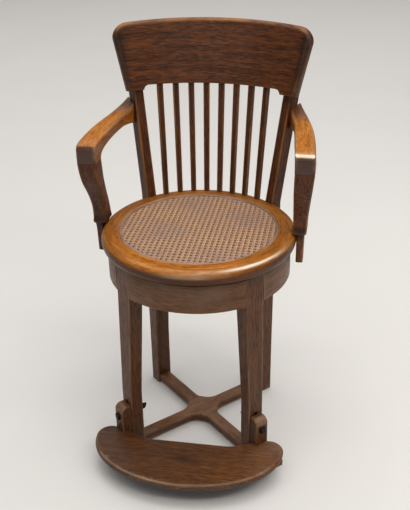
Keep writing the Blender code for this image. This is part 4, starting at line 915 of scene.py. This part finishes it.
def makeApron():
    own = apron
    halfDepth, halfHeight = own["thickness"] / 2, (own["top"] - own["bottom"]) / 2
    halfLeg = legs["topWidth"] / 2 + own["legGap"]
    section = []
    for corner in cornerArcs(halfDepth, halfHeight, own["edge"], steps=3):
        section += [(own["radius"] - halfDepth + x, own["bottom"] + halfHeight + y) for x, y in corner]
    for index, name in enumerate(("right", "back", "left", "front")):
        loops = []
        for share in np.linspace(-1, 1, own["rows"]):
            loop = []
            for out, height in section:
                angle = share * (quarterTurn / 2 - asin(halfLeg / out)) + index * quarterTurn
                loop.append((out * cos(angle), out * sin(angle), height))
            loops.append(loop)
        piece = loft("apronBoard_" + name, loops)
        dress(piece, own, "base", "apron_" + name, brownOak,
              bentGrain(own["radius"], own["plank"] + index))


makeApron()

stretchers = dict(
    bottom=0.003, thickness=0.018, width=0.028, fillet=0.032, edge=0.0055, legGap=0.0003,
    lap=0.0004, barRows=7, filletRows=12, mostFillet=0.9, plank=31,
    # the top is paler, as wear by shoes and as painted light from above
    age=(0.30, (-0.30, ("up", 0.5, 1.0))), rub=(0.0, (0.5, ("up", 0.5, 1.0))))


def makeStretchers():
    # two half-lapped bars with hollow fillets in the corners; the upper one shows at the crossing
    own = stretchers
    half = own["width"] / 2
    straight = half + own["fillet"]
    inner = legFace - legs["footDepth"] - own["legGap"]
    frontReach, backReach = inner + legs["frontSplay"], inner + legs["backSplay"]
    middle = own["bottom"] + own["thickness"] / 2
    turns = [quarterTurn * step / own["filletRows"] for step in range(own["filletRows"] + 1)]
    hollow = [half + own["fillet"] * (1 - cos(turn)) for turn in turns]
    places = [*np.linspace(-frontReach, -straight, own["barRows"])[:-1],
              *(-place for place in reversed(hollow)), 0.0, *hollow,
              *np.linspace(straight, backReach, own["barRows"])[1:]]
    bars = (("lower", legAngles["back_left"], own["lap"]), ("upper", legAngles["back_right"], 0.0))
    for index, (name, angle, lap) in enumerate(bars):
        turn = Matrix.Rotation(angle, 3, "Z")
        loops = []
        for place in places:
            into = min(max((straight - abs(place)) / own["fillet"], 0.0), own["mostFillet"])
            wide = half + roundOff(own["fillet"], into) - lap * into
            outline = roundedSection(wide, own["thickness"] / 2 - lap * (into > 0), own["edge"], steps=5)
            loops.append([turn @ Vector((place, x, middle + y)) for x, y in outline])
        piece = loft("stretcherBar_" + name, loops)
        along, across = turn @ Vector((1, 0, 0)), turn @ Vector((0, 1, 0))
        dress(piece, own, "base", "stretcher_" + name, brownOak,
              straightGrain(along, across, own["plank"] + index))


makeStretchers()
print("base built")


# footrest: board and brackets

board = dict(
    top=0.053, thickness=0.015, edge=0.0062, flatInset=0.006, setOff=0.031, overhang=0.060,
    depth=0.130, wrap=0.029, wrapLength=0.088, corner=0.029, frontRows=72, cornerRows=10,
    wrapRows=16, middleRows=12, edgeRows=10, cutHeights=(0.02, 0.09), sliceAcross=0.016,
    sliceDeep=0.010, plank=41,
    # darker to the left and by the legs, painted shade round the rim, and one stain in the middle
    age=(0.17, (0.70, ("x", 0.0, 0.024, hump), ("y", -0.215, 0.013, hump)),
         (0.45, ("y", -0.17, -0.13)), (0.40, ("x", 0.12, -0.14)),
         (0.45, ("up", 0.45, 0.10))),
    # a painted highlight along the front rim, drawn as shoe wear, and the right end dry and worn
    rub=(0.0, (1.2, ("up", 0.50, 0.75), ("up", 0.98, 0.90), ("y", -0.15, -0.19)),
         (0.7, ("x", 0.10, 0.19), ("up", 0.8, 1.0))))
brackets = dict(
    width=0.028, depth=0.021, rise=0.059, bend=0.013, cleatThickness=0.013, cleatLength=0.071,
    ease=0.0012, easeAngle=radians(50), flatArea=0.0001, flatRim=0.002, gap=0.0003, plank=43,
    age=0.3)
frontFace = legFace + legs["frontSplay"]


def insetOutline(outline, distance):
    # a closed anticlockwise outline moved inwards
    moved = []
    for index, point in enumerate(outline):
        along = (Vector(outline[(index + 1) % len(outline)]) - Vector(outline[index - 1])).normalized()
        moved.append((point[0] - along.y * distance, point[1] + along.x * distance))
    return moved


def boardOutline(halfWidth, rear):
    # half an ellipse in front, round corners, and a rear edge that sweeps back beside the legs
    own = board
    front = arc((0, -rear), (halfWidth, own["depth"]), pi, own["frontRows"], sweep=pi)[1:-1]
    wrapEnd = halfWidth - own["corner"]
    wrapStart = wrapEnd - own["wrapLength"]
    cornerRadii = (own["corner"], own["wrap"])
    sweep = []
    for step in range(1, own["wrapRows"] + 1):
        share = 1 - step / own["wrapRows"]
        back = own["wrap"] * share ** 2 * (3 - 2 * share)
        sweep.append((wrapStart + own["wrapLength"] * share, -rear + back))
    middle = [(wrapStart * (1 - 2 * step / own["middleRows"]), -rear) for step in range(1, own["middleRows"])]
    return [*front, *arc((wrapEnd, -rear), cornerRadii, 0.0, own["cornerRows"]), *sweep, *middle,
            *((-x, y) for x, y in reversed(sweep)),
            *arc((-wrapEnd, -rear), cornerRadii, quarterTurn, own["cornerRows"])]


def makeFootrestBoard():
    own = board
    place = frontFace * sqrt(0.5)
    rear = place + own["setOff"]
    halfWidth = place + own["overhang"]
    outline = boardOutline(halfWidth, rear)
    half = own["thickness"] / 2
    flat = insetOutline(outline, own["edge"] + own["flatInset"])
    loops = [[(x, y, own["top"] - own["thickness"]) for x, y in flat]]
    for step in range(own["edgeRows"] + 1):
        around = -quarterTurn + pi * step / own["edgeRows"]
        height = own["top"] - half + half * sin(around)
        eased = insetOutline(outline, own["edge"] * (1 - cos(around)))
        loops.append([(x, y, height) for x, y in eased])
    loops.append([(x, y, own["top"]) for x, y in flat])
    piece = loft("footrestBoard", loops)
    low, high = frontFace - brackets["depth"], frontFace + brackets["depth"] + 2 * brackets["gap"]
    across = brackets["width"] / 2 + brackets["gap"]
    corners = ((low, -across), (high, -across), (high, across), (low, across))
    for name in sides:
        turn = Matrix.Rotation(legAngles["front_" + name], 3, "Z")
        carve(piece, [[turn @ Vector((x, y, z)) for x, y in corners] for z in own["cutHeights"]])
    sliceFaces(piece, (1, 0, 0), np.arange(-halfWidth, halfWidth, own["sliceAcross"]))
    sliceFaces(piece, (0, 1, 0), np.arange(-rear - own["depth"], -rear, own["sliceDeep"]))
    dress(piece, own, "footrest", "footrest_board", brownOak,
          straightGrain((1, 0, 0), (0, 1, 0), own["plank"]))


makeFootrestBoard()


def makeBrackets():
    own = brackets
    face = frontFace + own["gap"]
    front = face + own["depth"]
    reach = face + own["cleatLength"]
    top = board["top"] + own["rise"]
    cleatTop = board["top"] - board["thickness"] - own["gap"]
    cleatFoot = cleatTop - own["cleatThickness"]
    bend = own["bend"]
    over = arc((front - bend, top - bend), (bend, bend), 0.0, steps=10)
    cleat = [(face, cleatFoot), (reach, cleatFoot), (reach, cleatTop), (front, cleatTop)]
    profile = [*cleat, *over, (face, top)]
    half = own["width"] / 2

    def rimFlats(shape):
        # points close to the edges of each flat, so that wear stays there
        flats = [flat for flat in shape.faces if flat.calc_area() > own["flatArea"]]
        bmesh.ops.inset_individual(shape, faces=flats, thickness=own["flatRim"])

    for index, name in enumerate(sides):
        turn = Matrix.Rotation(legAngles["front_" + name], 3, "Z")
        loops = [[turn @ Vector((x, y, z)) for x, z in profile] for y in (-half, half)]
        piece = loft("bracket_" + name, loops)
        ease = piece.modifiers.new("ease", "BEVEL")
        ease.width = own["ease"]
        ease.segments = 3
        ease.limit_method = "ANGLE"
        ease.angle_limit = own["easeAngle"]
        keepShape(piece)
        reshape(piece.data, rimFlats)
        dress(piece, own, "footrest", "footrest_bracket_" + name, brownOak,
              straightGrain((0, 0, 1), turn @ Vector((0, 1, 0)), own["plank"] + index))


makeBrackets()
print("footrest built")


# camera, floor and light

view = dict(
    place=(0.2741, -1.4448, 1.1783), down=radians(30.0), aside=radians(-10.14),
    roll=radians(-0.99), focal=851.0, frameHeight=510, lower=36, sensor=36.0)


def placed(place, right, up, backward):
    return Matrix.Translation(place) @ Matrix((right, up, backward)).transposed().to_4x4()


def makeCamera():
    down, aside, roll = view["down"], view["aside"], view["roll"]
    forward = Vector((cos(down) * sin(aside), cos(down) * cos(aside), -sin(down)))
    right = forward.cross(Vector((0, 0, 1))).normalized()
    up = right.cross(forward)
    tiltedRight = right * cos(roll) + up * sin(roll)
    tiltedUp = up * cos(roll) - right * sin(roll)
    data = bpy.data.cameras.new("camera")
    data.sensor_width = view["sensor"]
    data.lens = view["focal"] / view["frameHeight"] * view["sensor"]
    data.shift_y = view["lower"] / view["frameHeight"]  # the frame sits a little above the lens axis
    camera = addObject("camera", data)
    camera.matrix_world = placed(view["place"], tiltedRight, tiltedUp, -forward)
    bpy.context.scene.camera = camera


makeCamera()

room = dict(
    floorHalf=14.0, floorHeight=-0.0002, dark="#dad8d6", pale="#dfdddb", cloudScale=3.0,
    surround="#e4e2de", strength=0.18)


def makeFloor():
    half = room["floorHalf"]
    corners = ((-half, -half), (half, -half), (half, half), (-half, half))
    floor = meshPiece("floor", [(x, y, room["floorHeight"]) for x, y in corners], [(0, 1, 2, 3)])
    # Sealed pale concrete: matt and even, with faint clouds about 0.3 m across.
    made, shader, add = newMaterial("palePlainFloor", {"Roughness": 0.75})
    place = add("TexCoord", {}, {}, "Object")
    clouds = add("TexNoise", {"Scale": room["cloudScale"], "Detail": 4.0}, {"Vector": place})
    colour = add("Mix", {**colourMix, 6: room["dark"], 7: room["pale"]}, {0: clouds}, 2)
    feed(shader, {"Base Color": colour})
    floor.data.materials.append(made)


makeFloor()

# along is the way of a lamp's long side, left to right unless it says so
lamps = dict(
    ceiling=dict(place=(0.0, 1.2, 4.4), aim=(0, 1.2, 0), size=(9.0, 9.0), power=352, colour="#fffdfa"),
    frontStrip=dict(place=(1.0, -1.4, 2.7), aim=(0, 0, 0.5), size=(1.8, 0.25), power=12, colour="#fffaf4"),
    overhead=dict(place=(0.25, 0.0, 2.8), aim=(0.1, 0, 0.5), size=(1.4, 0.25), power=9, colour="#fffaf4"),
    rightStrip=dict(place=(1.5, -0.15, 1.48), aim=(0.13, -0.09, 0.455), along=(0.30, 0.89, -0.35),
                    size=(2.1, 0.45), power=6, colour="#fffaf4"),
    lowStrip=dict(place=(-0.3, -3.2, 0.98), aim=(0, 0, 0.44), size=(3.0, 0.4), power=9, colour="#f4f8ff"))


def makeLight():
    for name, lamp in lamps.items():
        data = bpy.data.lights.new(name, "AREA")
        data.shape = "RECTANGLE"
        data.size, data.size_y = lamp["size"]
        data.energy = lamp["power"]
        data.color = hexColour(lamp["colour"])[:3]
        light = addObject(name, data)
        place, along = Vector(lamp["place"]), Vector(lamp.get("along", (1, 0, 0)))
        backward = (place - Vector(lamp["aim"])).normalized()
        beside = (along - backward * backward.dot(along)).normalized()
        light.matrix_world = placed(place, beside, backward.cross(beside), backward)
    world = bpy.data.worlds.new("paleRoom")
    world.use_nodes = True
    adjust(world.node_tree.nodes["Background"], {"Color": room["surround"], "Strength": room["strength"]})
    bpy.context.scene.world = world
    bpy.context.scene.view_settings.view_transform = "Standard"


makeLight()

print("camera, floor and light set")
